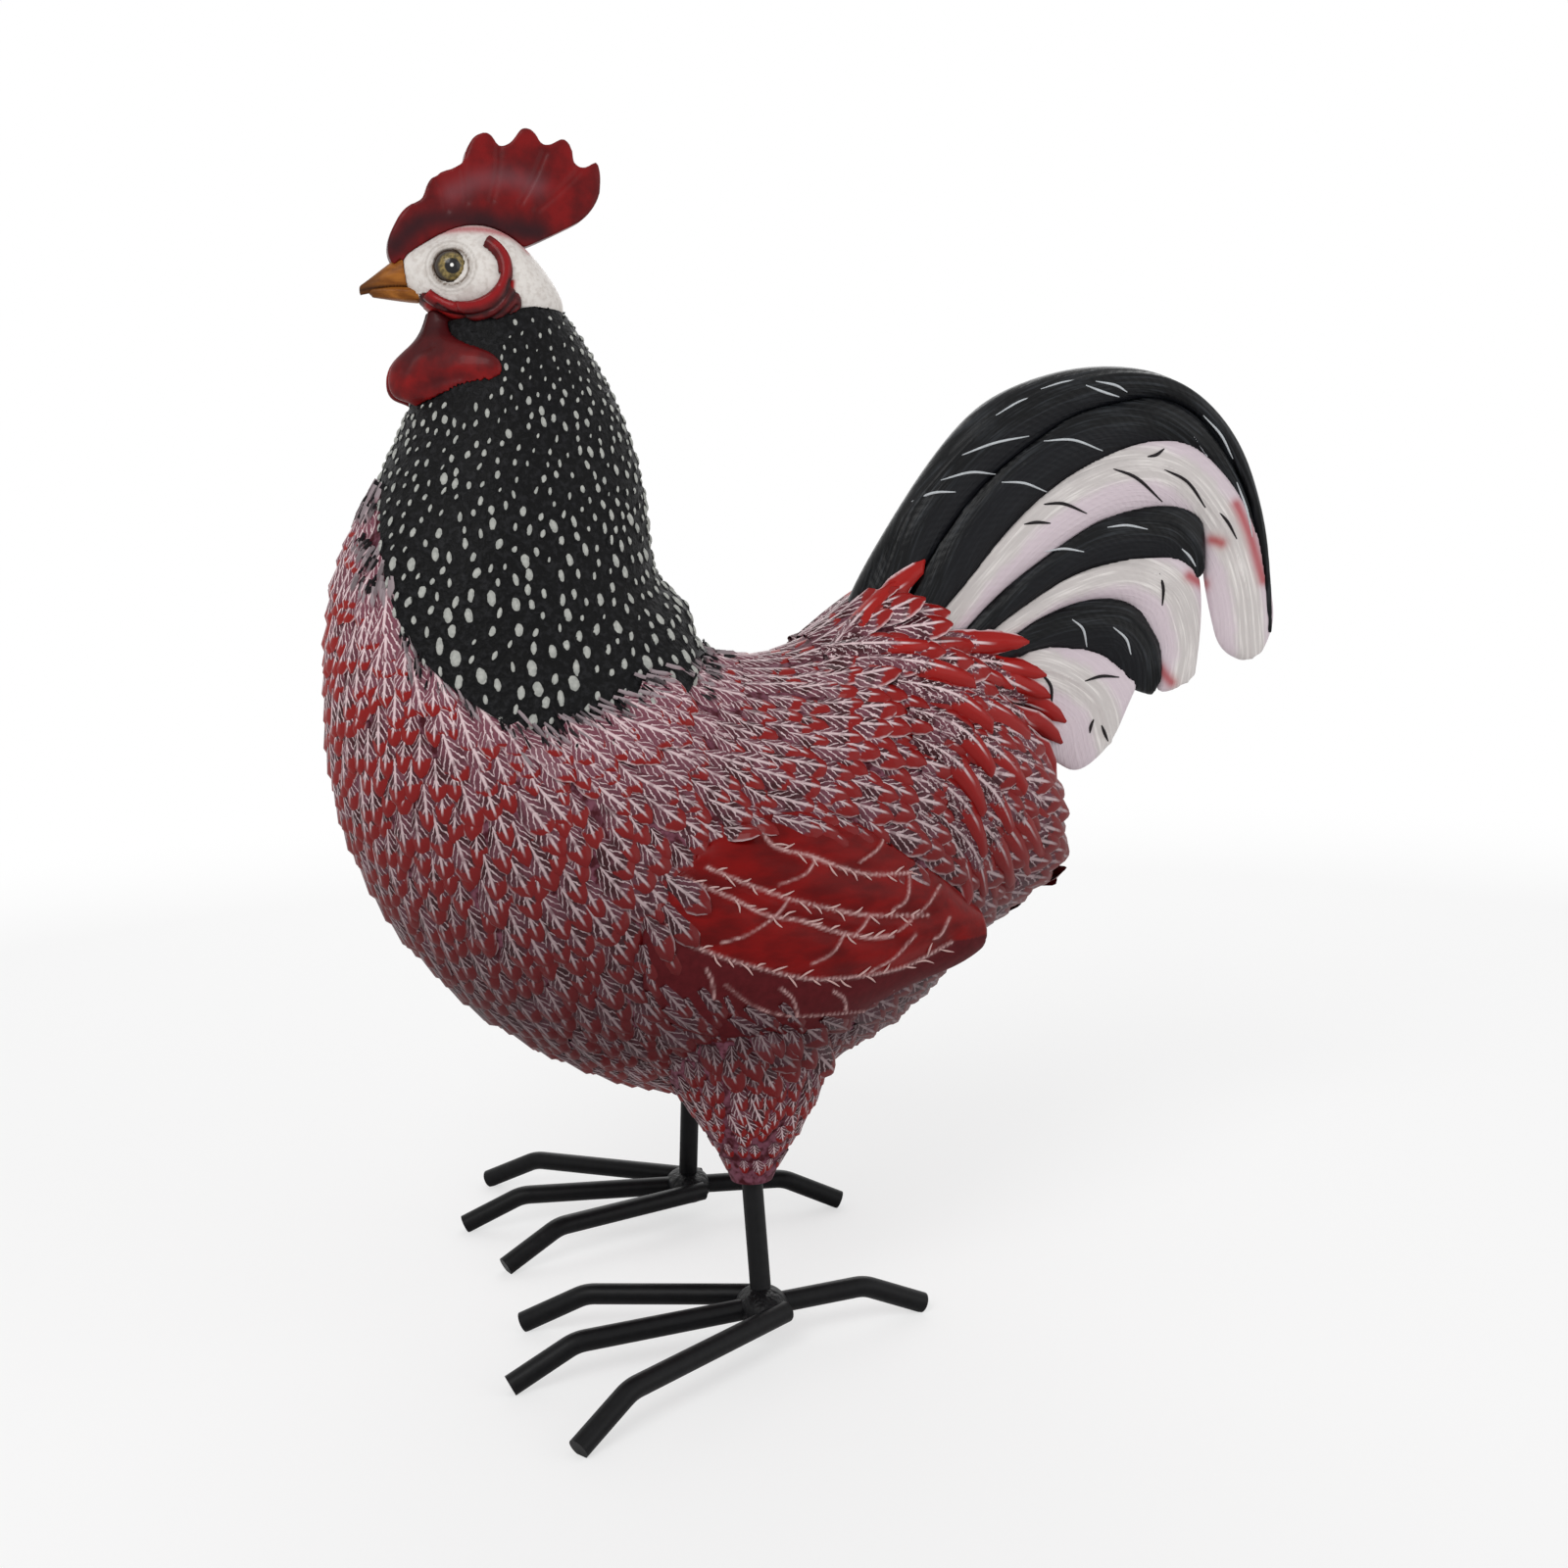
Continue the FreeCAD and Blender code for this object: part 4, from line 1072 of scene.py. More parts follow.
# %% Laying the pebbles
DOWN_THE_NECK = (-0.18, 0.0, -1.0)
SMALLEST_PEBBLE, PEBBLE_GROWTH = 1.0 * MM, 1.6 * MM


def pebble_span(points):
    """Larger towards the breast, and no two alike."""
    length = (SMALLEST_PEBBLE + PEBBLE_GROWTH * lowness(points)) * rng.uniform(0.65, 1.3, len(points))
    width = length * rng.uniform(0.38, 0.64, len(points))
    return np.stack([length, width, 0.4 * length + 1.0 * MM], 1)


repaint("neck_cape", cape_paint())
lay("cape_pebbles", pebble_places, the_same(*DOWN_THE_NECK), pebble_span, pebble_paint(), "white_plumage",
    feather=PEBBLE, lift=0.0, twist=0.35, variation=0.1, seed=11)

# %% [markdown]
# ## Where the cape ends
#
# Along its lower edge the cape frays into short grey barbs over the red feathers.

# %% The fringe
FRINGE_PER_FEATHER = 8
FRINGE_SPREAD, FRINGE_SHIFT, FRINGE_RISE = 2.4 * MM, (-3.0 * MM, 1.8 * MM), 1.1 * MM
FRINGE_SIZE = (5.0 * MM, 0.95 * MM, 1.4 * MM)
FRINGE_BARB = shield("fringe_barb", (0.30, 0.50, 0.42, 0.10), crown=0.3, shaft=0.1, skirt=0.3, columns=3)


def fringe_places():
    """A few barbs beside each place on the frayed hem, scattered along it."""
    places = []
    for point, normal, along in frayed:
        for _ in range(FRINGE_PER_FEATHER):
            beside = np.cross(normal, along) * rng.normal(0, FRINGE_SPREAD)
            ahead = along * rng.uniform(*FRINGE_SHIFT)
            places.append((point + beside + ahead + normal * FRINGE_RISE, normal))
    return places


def fringe_paint():
    paint = Paint("fringe_paint")
    _, along, _ = paint.xyz(paint.uv())
    mixed = paint.blend(paint.attribute("shade"), 0.4, 0.8, rgb(22, 20, 22), rgb(158, 144, 148))
    return paint.finish(paint.blend(along, 0.6, 1.0, mixed, rgb(150, 110, 118)), 0.6)


lay("cape_fringe", fringe_places(), away_from_throat, the_same(*FRINGE_SIZE), fringe_paint(),
    "black_plumage", feather=FRINGE_BARB, lift=0.04, twist=0.4, variation=0.35, seed=12)

# %% [markdown]
# ## Carving
#
# The long quills of the wing, the tail, the head, the comb and the wattles have no separate feathers:
# the sculptor cut lines into smooth forms. `Carving` takes a finely meshed copy of a piece of the
# frame, raises or sinks it along lines, and keeps how near each point is to a line, so that the paint
# can follow the same lines.

# %% A piece to carve
EVENING_STEPS = 3


class Carving:
    """A finely meshed copy of one piece of the frame."""

    def __init__(self, node, voxel):
        self.node = node
        mesh = bmesh.new()
        mesh.from_mesh(NODES[node].data)
        bmesh.ops.remove_doubles(mesh, verts=mesh.verts, dist=WELD)
        merged = bpy.data.meshes.new(node + "_merged")
        mesh.to_mesh(merged)
        mesh.free()
        bearer = bpy.data.objects.new(node + "_bearer", merged)
        bpy.context.collection.objects.link(bearer)
        modifier = bearer.modifiers.new("fine", "REMESH")
        modifier.mode = "VOXEL"
        modifier.voxel_size = voxel
        bearer.modifiers.new("even", "SMOOTH").iterations = EVENING_STEPS
        depsgraph = bpy.context.evaluated_depsgraph_get()
        self.mesh = bpy.data.meshes.new_from_object(bearer.evaluated_get(depsgraph), depsgraph=depsgraph)
        bpy.data.objects.remove(bearer)
        count = len(self.mesh.vertices)
        self.points, self.normals = np.zeros(count * 3), np.zeros(count * 3)
        self.mesh.vertices.foreach_get("co", self.points)
        self.mesh.vertex_normals.foreach_get("vector", self.normals)
        self.points, self.normals = self.points.reshape(-1, 3), self.normals.reshape(-1, 3)
        self.pixels = photo_pixels(self.points)
        self.height = np.zeros(count)

    def near(self, lines, steps=12):
        """How far each point is from the nearest of these pixel lines, in metres."""
        nearest = np.full(len(self.points), np.inf)
        for line in lines:
            for pixel in smooth_line(line, steps):
                nearest = np.minimum(nearest, ((self.pixels - pixel) ** 2).sum(1))
        return np.sqrt(nearest) / PIXELS_PER_METRE

    def mark(self, name, values):
        """Stores a value for each point, which the paint reads by this name."""
        self.mesh.attributes.new(name, "FLOAT", "POINT").data.foreach_set("value", np.array(values, float))

    def finish(self, name, slot, material):
        moved = self.points + self.normals * self.height[:, None]
        self.mesh.vertices.foreach_set("co", moved.ravel())
        self.mesh.polygons.foreach_set("use_smooth", [True] * len(self.mesh.polygons))
        self.mesh.materials.clear()
        self.mesh.materials.append(material)
        piece = settle(name, self.mesh)
        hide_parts(self.node)


def bell(distance, width):
    """1 on a line, falling off to 0 within about two widths."""
    return np.exp(-((distance / width) ** 2))


# %% [markdown]
# ## Wings
#
# The wing is a smooth glossy shield. Raised pale lines cut it into long overlapping quills, and the
# field between two lines swells a little. The lines are placed by their pixels in the photograph, and
# the hidden wing gets the same ones. Small feathers like the body's cover its front, its top and a
# part of its lower edge. They are laid in rows, because there the photograph shows single feathers.

# %% The lines of a wing
WING_LONG_LINES = (
    [(775, 841), (790, 863), (826, 873), (850, 882), (887, 892), (935, 890)],
    [(722, 885), (763, 902), (802, 916), (850, 928), (887, 934), (947, 934)],
    [(700, 897), (746, 916), (780, 933), (819, 940), (850, 950), (887, 957), (911, 955)],
    [(668, 904), (690, 953), (729, 974), (778, 989), (826, 999), (874, 997), (923, 987), (971, 962)],
)
WING_CROSS_LINES = (
    [(833, 876), (821, 892), (794, 903)],
    [(903, 846), (896, 865), (877, 880)],
    [(804, 919), (790, 936), (763, 953), (736, 962)],
    [(862, 953), (848, 972), (828, 983)],
    [(889, 934), (874, 953)],
    [(928, 894), (923, 919), (911, 928)],
    [(957, 904), (942, 928), (916, 950)],
    [(933, 953), (911, 977), (889, 991)],
    [(967, 936), (959, 953), (952, 957)],
    [(720, 988), (726, 1000), (728, 1018)],
    [(796, 1008), (808, 1018), (813, 1034)],
    [(850, 1011), (860, 1018), (862, 1030)],
    [(740, 1004), (770, 1026), (805, 1035), (850, 1033), (900, 1026), (940, 1010)],
    [(668, 880), (672, 925), (690, 955)],
)
WING_BELOW = [(1060, 940), (1060, 1120), (600, 1120), (600, 880)]


# %% The paint of a wing
def wing_paint():
    paint = Paint("wing_paint")
    line, foot = paint.attribute("line"), paint.attribute("foot")
    streaks = paint.noise(5.0 * MM, stretch=(2.5, 1, 1))
    field = paint.blend(streaks, 0.3, 0.7, rgb(86, 5, 6), rgb(118, 10, 9))
    dusty = paint.mix(paint.noise(2.0 * MM), rgb(60, 7, 11), rgb(88, 22, 27))
    below = paint.mix(foot, field, dusty)
    pale = paint.calc("MULTIPLY", line, paint.ramp(paint.noise(1.6 * MM), 0.32, 0.5, 0.6, 1.0))
    rough = paint.calc("MULTIPLY_ADD", paint.calc("MAXIMUM", pale, foot), 0.3, 0.32)
    colour = paint.mix(pale, below, rgb(206, 170, 168))
    return paint.finish(colour, rough, bump=streaks, depth=0.25 * MM, gloss=0.1)


WING_PAINT = wing_paint()

# %% Carving a wing
WING_SWELL, SWELL_WIDTH = 0.9 * MM, 3.2 * MM
QUILL_RISE, QUILL_WIDTH = 0.55 * MM, 0.5 * MM
WING_SINK = 0.35 * MM
LONG_LINE_WIDTH, CROSS_LINE_WIDTH, CROSS_LINE_STRENGTH = 0.42 * MM, 0.3 * MM, 0.85


def carve_wing(side):
    """Raises the lines of a wing and swells the fields between the long ones."""
    wing = Carving(side + "_wing", voxel=0.7 * MM)
    long_away, cross_away = wing.near(WING_LONG_LINES), wing.near(WING_CROSS_LINES)
    outward = np.clip(np.sign(wing.points[:, 1]) * wing.normals[:, 1] * 2, 0, 1)
    swell = WING_SWELL * (1 - bell(long_away, SWELL_WIDTH))
    raised = QUILL_RISE * bell(np.minimum(long_away, cross_away), QUILL_WIDTH)
    wing.height = outward * (swell + raised - WING_SINK)
    crossing = CROSS_LINE_STRENGTH * bell(cross_away, CROSS_LINE_WIDTH)
    wing.mark("line", outward * np.maximum(bell(long_away, LONG_LINE_WIDTH), crossing))
    wing.mark("foot", inside(WING_LONG_LINES[3] + WING_BELOW, wing.pixels))
    wing.finish(side + "_wing_carved", "wing_red", WING_PAINT)


# %% Covert feathers at a wing's front, its top and its lower edge
COVERT_LINE, COVERT_FRONT = 850, 694
LOWER_COVERT_LINE, LOWER_COVERT_SLOPE, LOWER_COVERT_END = 1010, 0.2, 880
COVERT_ROW_GAP, COVERT_STEP, COVERT_SHIFT = 6.0 * MM, 5.4 * MM, 4.5 * MM
COVERT_SIZE = (13 * MM, 6.4 * MM, 6 * MM)
COVERT_FACING = 0.2
COVERT_SEED = 31


def lay_coverts(side, outer):
    """outer is the sign of Y on the wing's outer face."""

    def keep(point, normal):
        x, y = photo_pixels([point])[0]
        lower = x < LOWER_COVERT_END and y > LOWER_COVERT_LINE + LOWER_COVERT_SLOPE * (x - COVERT_FRONT)
        return normal[1] * outer > COVERT_FACING and (y < COVERT_LINE or x < COVERT_FRONT or lower)

    rows = rows_of_places(Skin(side + "_wing"), from_throat, COVERT_ROW_GAP, COVERT_STEP, keep)
    places = [(point, normal) for point, normal, _ in stepped_back(rows, COVERT_SHIFT)]
    lay(side + "_wing_coverts", places, away_from_throat, the_same(*COVERT_SIZE), red_feather_paint,
        "red_plumage", lift=0.0, seed=COVERT_SEED + outer)


for side, outer in (("left", -1), ("right", 1)):
    carve_wing(side)
    lay_coverts(side, outer)

# %% [markdown]
# ## Tail
#
# Seven sickle feathers are nested in the tail, black and white in turn. Each has a raised shaft along
# its middle, and brushed streaks run along it. The shaft is carved. The streaks, and faint barbs that
# slant from the shaft, are a bump in the paint: it knows how far along and across the feather it is.

# %% The shafts of the tail feathers
TAIL_SHAFTS = {
    "black_upper_feather": [(895, 590), (925, 520), (985, 450), (1050, 405), (1120, 385), (1190, 390),
                            (1240, 425), (1275, 490), (1290, 560), (1293, 620)],
    "black_inner_feather": [(930, 600), (965, 530), (1020, 465), (1090, 425), (1160, 420), (1215, 450),
                            (1255, 505), (1280, 580)],
    "white_upper_feather": [(950, 630), (1000, 570), (1060, 510), (1130, 475), (1190, 480), (1235, 525),
                            (1262, 590), (1272, 660)],
    "black_middle_feather": [(985, 630), (1040, 575), (1110, 535), (1180, 530), (1215, 555), (1225, 590)],
    "white_middle_feather": [(1015, 630), (1075, 595), (1140, 578), (1190, 600), (1210, 650), (1207, 695)],
    "black_lower_feather": [(1030, 640), (1085, 625), (1140, 625), (1170, 655), (1180, 700)],
    "white_lower_feather": [(1000, 680), (1060, 680), (1110, 710), (1130, 760)],
}

# %% The paint of a tail feather
STREAK_LENGTH, STREAK_WIDTH = 16 * MM, 0.9 * MM
TAIL_BARB_GAP, TAIL_BARB_WAVE, TAIL_BARB_SLANT, TAIL_BARB_SHARE = 3.1 * MM, 2.5 * MM, -1.2, 0.12
BORDER_START, BORDER_END, BORDER_WAVE = 5.5 * MM, 9 * MM, 4 * MM
TOUCH_RED = rgb(164, 30, 36)


def sickle_paint(name, dark, light, edge, roughness, gloss):
    """Brushed paint. edge tints the borders of the feather."""
    paint = Paint(name)
    along, across = paint.attribute("along"), paint.attribute("across")
    course = paint.node("ShaderNodeCombineXYZ", {
        "X": paint.calc("MULTIPLY", along, 1 / STREAK_LENGTH),
        "Y": paint.calc("MULTIPLY", across, 1 / STREAK_WIDTH),
    })
    brushed = paint.speckle(course.outputs[0])
    slanted = paint.calc("MULTIPLY_ADD", across, TAIL_BARB_SLANT, along)
    waved = paint.calc("MULTIPLY_ADD", brushed, TAIL_BARB_WAVE, slanted)
    turns = paint.calc("MULTIPLY", waved, 2 * math.pi / TAIL_BARB_GAP)
    barbs = paint.ramp(paint.calc("SINE", turns), -1.0, 1.0)
    relief = paint.calc("MULTIPLY_ADD", barbs, TAIL_BARB_SHARE, brushed)
    wavy = paint.calc("MULTIPLY_ADD", paint.noise(6 * MM), BORDER_WAVE, across)
    border = paint.ramp(wavy, BORDER_START, BORDER_END, 0.0, 0.75)
    colour = paint.blend(brushed, 0.45, 0.75, dark, light)
    touched = paint.mix(paint.attribute("touch"), paint.mix(border, colour, edge), TOUCH_RED)
    return paint.finish(touched, roughness, bump=relief, depth=0.3 * MM, gloss=gloss)


BLACK_SICKLE = sickle_paint(
    "black_sickle_paint", rgb(6, 7, 9), rgb(44, 47, 51), rgb(14, 15, 20), 0.34, 0.16,
)
WHITE_SICKLE = sickle_paint(
    "white_sickle_paint", rgb(196, 190, 188), rgb(228, 223, 220), rgb(206, 190, 200), 0.5, 0.12,
)

# %% Carving a tail feather
SHAFT_RISE, SHAFT_WIDTH = 0.5 * MM, 0.8 * MM
RED_TOUCHES = (
    [(1262, 515), (1275, 545), (1289, 592)],
    [(1236, 551), (1241, 552), (1246, 554)],
    [(1214, 588), (1220, 592), (1228, 596)],
    [(1184, 682), (1189, 689), (1195, 696)],
)
TOUCH_WIDTH, TOUCH_STRENGTH = 1.7 * MM, 0.8


def course_of(points, shaft):
    """How far along a shaft each point lies, and how far across from it."""
    course = np.array([on_middle_plane(*pixel) for pixel in smooth_line(shaft, 14)])[:, [0, 2]]
    flat = points[:, [0, 2]]
    nearest = ((flat[:, None, :] - course[None, :, :]) ** 2).sum(2).argmin(1)
    tangent = np.gradient(course, axis=0)
    tangent /= np.linalg.norm(tangent, axis=1)[:, None]
    offset, ahead = flat - course[nearest], tangent[nearest]
    across = abs(offset[:, 0] * ahead[:, 1] - offset[:, 1] * ahead[:, 0])
    return run_along(course)[nearest] + (offset * ahead).sum(1), across


for node, shaft in TAIL_SHAFTS.items():
    feather = Carving(node, voxel=0.6 * MM)
    black = node.startswith("black")
    along, across = course_of(feather.points, shaft)
    outward = np.clip(abs(feather.normals[:, 1]) * 1.5, 0, 1)
    feather.height = outward * SHAFT_RISE * bell(across, SHAFT_WIDTH)
    feather.mark("along", along)
    feather.mark("across", across)
    touched = TOUCH_STRENGTH * bell(feather.near(RED_TOUCHES, 24), TOUCH_WIDTH)
    feather.mark("touch", touched * (not black))
    slot, paint = ("black_plumage", BLACK_SICKLE) if black else ("white_plumage", WHITE_SICKLE)
    feather.finish(node + "_carved", slot, paint)

# %% [markdown]
# ## Brush strokes on the tail
#
# The painter flicked thin pale strokes across the black feathers and dark ones across the white.
# A stroke is a line of places on the surface, and Geometry Nodes give it a body that tapers.

# %% The stroke recipe
def stroke_recipe():
    recipe = Recipe("brush_stroke", {"Width": "Float", "Material": "Material"})
    given = recipe.given
    curve = recipe.node("GeometryNodeMeshToCurve", {"Mesh": given["Geometry"]})
    ring = recipe.node("GeometryNodeCurvePrimitiveCircle", {"Resolution": 6, "Radius": given["Width"]})
    body = recipe.node("GeometryNodeCurveToMesh", {
        "Curve": curve.outputs[0], "Profile Curve": ring.outputs[0],
        "Scale": recipe.field("thick", "FLOAT"), "Fill Caps": True,
    })
    soft = recipe.node("GeometryNodeSetShadeSmooth", {"Geometry": body.outputs[0]})
    recipe.keep(soft.outputs[0], given["Material"])
    return recipe


brush_stroke = stroke_recipe()


# %% Lines for the recipe
THINNEST = 0.25


def stroke_mesh(name, lines):
    """Lines of places as one mesh of edges, with a thickness that tapers to both ends."""
    points, edges, thick = [], [], []
    for line in lines:
        start, shares = len(points), (np.arange(len(line)) + 0.5) / len(line)
        points += [tuple(point) for point in line]
        edges += [(start + step, start + step + 1) for step in range(len(line) - 1)]
        thick += list(THINNEST + (1 - THINNEST) * np.sin(math.pi * shares))
    mesh = bpy.data.meshes.new(name)
    mesh.from_pydata(points, edges, [])
    mesh.attributes.new("thick", "FLOAT", "POINT").data.foreach_set("value", thick)
    return mesh


def both_sides(pixel_lines, skin):
    """Pixel lines as places on the surface, and their mirror images."""
    lines = []
    for pixel_line in pixel_lines:
        found = [pinned(*pixel, skin) for pixel in smooth_line(pixel_line, 6)]
        near = [place for place, _ in filter(None, found)]
        if len(near) > 2:
            lines += [near, [Vector((place.x, -place.y, place.z)) for place in near]]
    return lines


# %% The strokes of the tail
PALE_STROKES = (
    [(980, 465), (1015, 452), (1050, 445)],
    [(1065, 450), (1095, 449), (1125, 460)],
    [(1022, 492), (1045, 493), (1068, 502)],
    [(930, 512), (952, 503), (975, 502)],
    [(1062, 397), (1086, 390), (1112, 387)],
    [(1108, 393), (1126, 400), (1142, 405)],
    [(1118, 389), (1138, 393), (1150, 400)],
    [(1016, 424), (1040, 410), (1060, 404)],
    [(1200, 432), (1218, 446), (1232, 466)],
    [(1228, 424), (1246, 444), (1258, 468)],
    [(1262, 492), (1272, 520), (1278, 548)],
    [(1066, 563), (1086, 560), (1106, 563)],
    [(1130, 538), (1150, 536), (1171, 540)],
    [(1206, 560), (1214, 568), (1220, 578)],
    [(1094, 632), (1105, 642), (1109, 660)],
    [(1136, 640), (1149, 652), (1154, 668)],
    [(960, 490), (990, 482), (1016, 484)],
)
DARK_STROKES = (
    [(1062, 515), (1085, 514), (1109, 524)],
    [(1135, 478), (1160, 488), (1186, 512)],
    [(1045, 535), (1058, 533), (1072, 534)],
    [(1060, 685), (1072, 700), (1073, 722)],
    [(1107, 695), (1124, 690), (1142, 691)],
    [(1171, 466), (1180, 464), (1188, 458)],
    [(1188, 479), (1212, 492), (1230, 518)],
    [(1240, 520), (1252, 532), (1262, 550)],
    [(1116, 734), (1113, 741), (1112, 748)],
    [(1124, 740), (1127, 748), (1131, 757)],
    [(1183, 585), (1187, 600), (1186, 618)],
)
PALE_WIDTH, DARK_WIDTH = 0.42 * MM, 0.55 * MM


def plain_paint(name, colour):
    """One dull colour with a little grain in it."""
    paint = Paint(name)
    darker = [channel * 0.6 for channel in colour[:3]] + [1]
    return paint.finish(paint.mix(paint.noise(0.8 * MM, 2.0), darker, colour), 0.6)


def strokes(name, lines, slot, width, colour):
    """Grows a brush stroke over each line."""
    grow(name, brush_stroke, stroke_mesh(name + "_lines", lines), slot, Width=width,
         Material=plain_paint(name + "_paint", colour))


tail_skin = Skin(*TAIL_SHAFTS)
pale_lines, dark_lines = both_sides(PALE_STROKES, tail_skin), both_sides(DARK_STROKES, tail_skin)
strokes("pale_tail_strokes", pale_lines, "white_plumage", PALE_WIDTH, rgb(205, 210, 214))
strokes("dark_tail_strokes", dark_lines, "black_plumage", DARK_WIDTH, rgb(38, 34, 36))

# %% [markdown]
# ## Barbs on the wing
#
# Short pale barbs leave each long wing line towards the tip of the wing, at uneven steps.

# %% Wing barbs
BARB_GAP, BARB_SCATTER = 4.2 * MM, 0.8 * MM
BARB_LENGTHS = (2.4 * MM, 5.2 * MM)
BARB_SLANTS = (0.45, 0.75)
BARB_BEND = 0.12
BARB_WIDTH = 0.3 * MM


def wing_barbs():
    """Short pixel lines that leave the long wing lines at a slant."""
    lines = []
    for long_line in WING_LONG_LINES:
        pixels = np.array(smooth_line(long_line, 12))
        run = run_along(pixels) / PIXELS_PER_METRE
        stops = np.arange(BARB_GAP / 2, run[-1], BARB_GAP)
        for stop in stops + rng.normal(0, BARB_SCATTER, len(stops)):
            start, following = at_stops(pixels, run, stop), at_stops(pixels, run, stop + MM)
            ahead = following - start
            if not ahead.any():
                continue
            slant = math.atan2(ahead[1], ahead[0]) + rng.uniform(*BARB_SLANTS) * rng.choice((-1, 1))
            reach = rng.uniform(*BARB_LENGTHS) * PIXELS_PER_METRE
            step = np.array([math.cos(slant), math.sin(slant)]) * reach
            bend = np.array([-step[1], step[0]]) * rng.uniform(-BARB_BEND, BARB_BEND)
            lines.append([start, start + step / 2 + bend, start + step])
    return lines


barb_lines = both_sides(wing_barbs(), Skin("left_wing"))
strokes("wing_barbs", barb_lines, "wing_red", BARB_WIDTH, rgb(214, 176, 172))

# %% [markdown]
# ## Head
#
# The face is white with fine wrinkles round the eye, and the skin under the eye is folded and dark
# red. The folds are carved and painted along the same lines.

# %% The lines of the head
FACE_OUTLINE = [
    (428, 300), (436, 298), (447, 305), (465, 311), (485, 310), (503, 301), (514, 286), (524, 286),
    (524, 304), (512, 322), (500, 340), (470, 345), (440, 335), (426, 318),
]
FOLD_LINES = (
    [(440, 303), (455, 318), (480, 325), (505, 318), (520, 300), (523, 288)],
    [(436, 312), (455, 328), (480, 334), (504, 328)],
)
CREST_LINE = [(402, 258), (420, 244), (450, 236), (490, 234), (524, 242), (540, 256)]
LIDS = ((5.3 * MM, 1.0), (6.5 * MM, 0.45), (7.7 * MM, 0.25))
WRINKLES = ((5.2 * MM, 1.0), (6.0 * MM, 0.35), (7.2 * MM, 0.3))


# %% Head carving
FOLD_RISE, FOLD_WIDTH = 0.5 * MM, 0.8 * MM
LID_RISE, LID_WIDTH, WRINKLE_WIDTH = 0.55 * MM, 0.35 * MM, 0.3 * MM
CREST_WIDTH = 1.0 * MM


def head_paint():
    paint = Paint("head_paint")
    grain = paint.noise(1.4 * MM)
    white = paint.blend(grain, 0.4, 0.7, rgb(222, 217, 212), rgb(206, 199, 193))
    skin = paint.blend(grain, 0.35, 0.65, rgb(34, 7, 9), rgb(92, 14, 17))
    crest = paint.mix(paint.attribute("crest"), white, rgb(190, 120, 122))
    faced = paint.mix(paint.attribute("face"), crest, skin)
    folded = paint.mix(paint.attribute("fold"), faced, rgb(150, 24, 24))
    lidded = paint.mix(paint.attribute("lid"), folded, rgb(92, 72, 54))
    return paint.finish(lidded, 0.45, bump=grain, depth=0.15 * MM)


def rings(distance, width, circles):
    """Lines round the eye. circles are pairs of a radius and a strength."""
    return sum(bell(distance - radius, width) * strength for radius, strength in circles)


head = Carving("head_casting", voxel=0.5 * MM)
eye_away = np.linalg.norm(head.pixels - EYE_PIXEL, axis=1) / PIXELS_PER_METRE
folds = bell(head.near(FOLD_LINES), FOLD_WIDTH)
head.height = LID_RISE * rings(eye_away, LID_WIDTH, LIDS) + FOLD_RISE * folds
head.mark("face", inside(FACE_OUTLINE, head.pixels))
head.mark("fold", folds)
head.mark("lid", np.clip(rings(eye_away, WRINKLE_WIDTH, WRINKLES), 0, 1))
head.mark("crest", bell(head.near([CREST_LINE]), CREST_WIDTH))
head.finish("head_carved", "white_head", head_paint())

# %% [markdown]
# ## Eyes
#
# The eye is a glossy painted dome: a black pupil, a brown iris, a dark rim and one spot of white for
# the glint. The paint mixes them by the distance from the eye's axis.

# %% Eyes
GLINT_PLACE = (-0.2 * MM, 0.2 * MM)


def eye_paint():
    paint = Paint("painted_eye")
    low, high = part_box("left_eye")
    where = paint.xyz(paint.place())

    def from_axis(right=0.0, up=0.0):
        """The distance in millimetres from an axis, this much beside the eye's own."""
        across = paint.calc("SUBTRACT", where[0], (low.x + high.x) / 2 + right)
        rise = paint.calc("SUBTRACT", where[2], (low.z + high.z) / 2 + up)
        square = paint.calc("MULTIPLY_ADD", across, across, paint.calc("MULTIPLY", rise, rise))
        return paint.calc("MULTIPLY", paint.calc("SQRT", square), 1 / MM)

    radius = from_axis()
    iris = paint.blend(paint.noise(0.9 * MM), 0.35, 0.65, rgb(84, 72, 36), rgb(142, 122, 70))
    ringed = paint.blend(radius, 3.1, 4.0, iris, rgb(44, 32, 22))
    pupil = paint.blend(radius, 1.9, 2.3, rgb(8, 7, 7), ringed)
    glint = paint.ramp(from_axis(*GLINT_PLACE), 0.35, 0.6, 1.0, 0.0)
    return paint.finish(paint.mix(glint, pupil, rgb(240, 240, 235)), 0.2, coat=0.25, gloss=0.25)


EYE_PAINT = eye_paint()
for side in ("left", "right"):
    repaint(side + "_eye", EYE_PAINT)

# %% [markdown]
# ## Face rings
#
# A thick fold of dark red skin runs round the cheek, brighter on its rim and creased below the eye.
# The cheek inside the rim lies deeper, so it is sunk until the white head covers it.

# %% Face rings
RING_RIDGE = [
    (436, 298), (447, 305), (465, 311), (485, 310), (503, 301), (514, 286), (518, 268), (513, 254),
    (506, 248),
]
RING_FOLDS = (
    [(446, 311), (462, 320), (482, 322), (502, 315), (516, 300), (521, 286)],
    [(458, 328), (478, 331), (500, 326), (516, 314), (526, 298)],
    [(476, 338), (496, 336), (514, 326), (528, 312)],
)
RING_SINK, CHEEK_START, CHEEK_SLOPE, CHEEK_BELOW = 7.0 * MM, 1.2 * MM, 0.6 * MM, 278
CREASE_DEPTH, CREASE_WIDTH, GROOVE_WIDTH, RIDGE_WIDTH = 0.6 * MM, 0.5 * MM, 0.6 * MM, 1.3 * MM


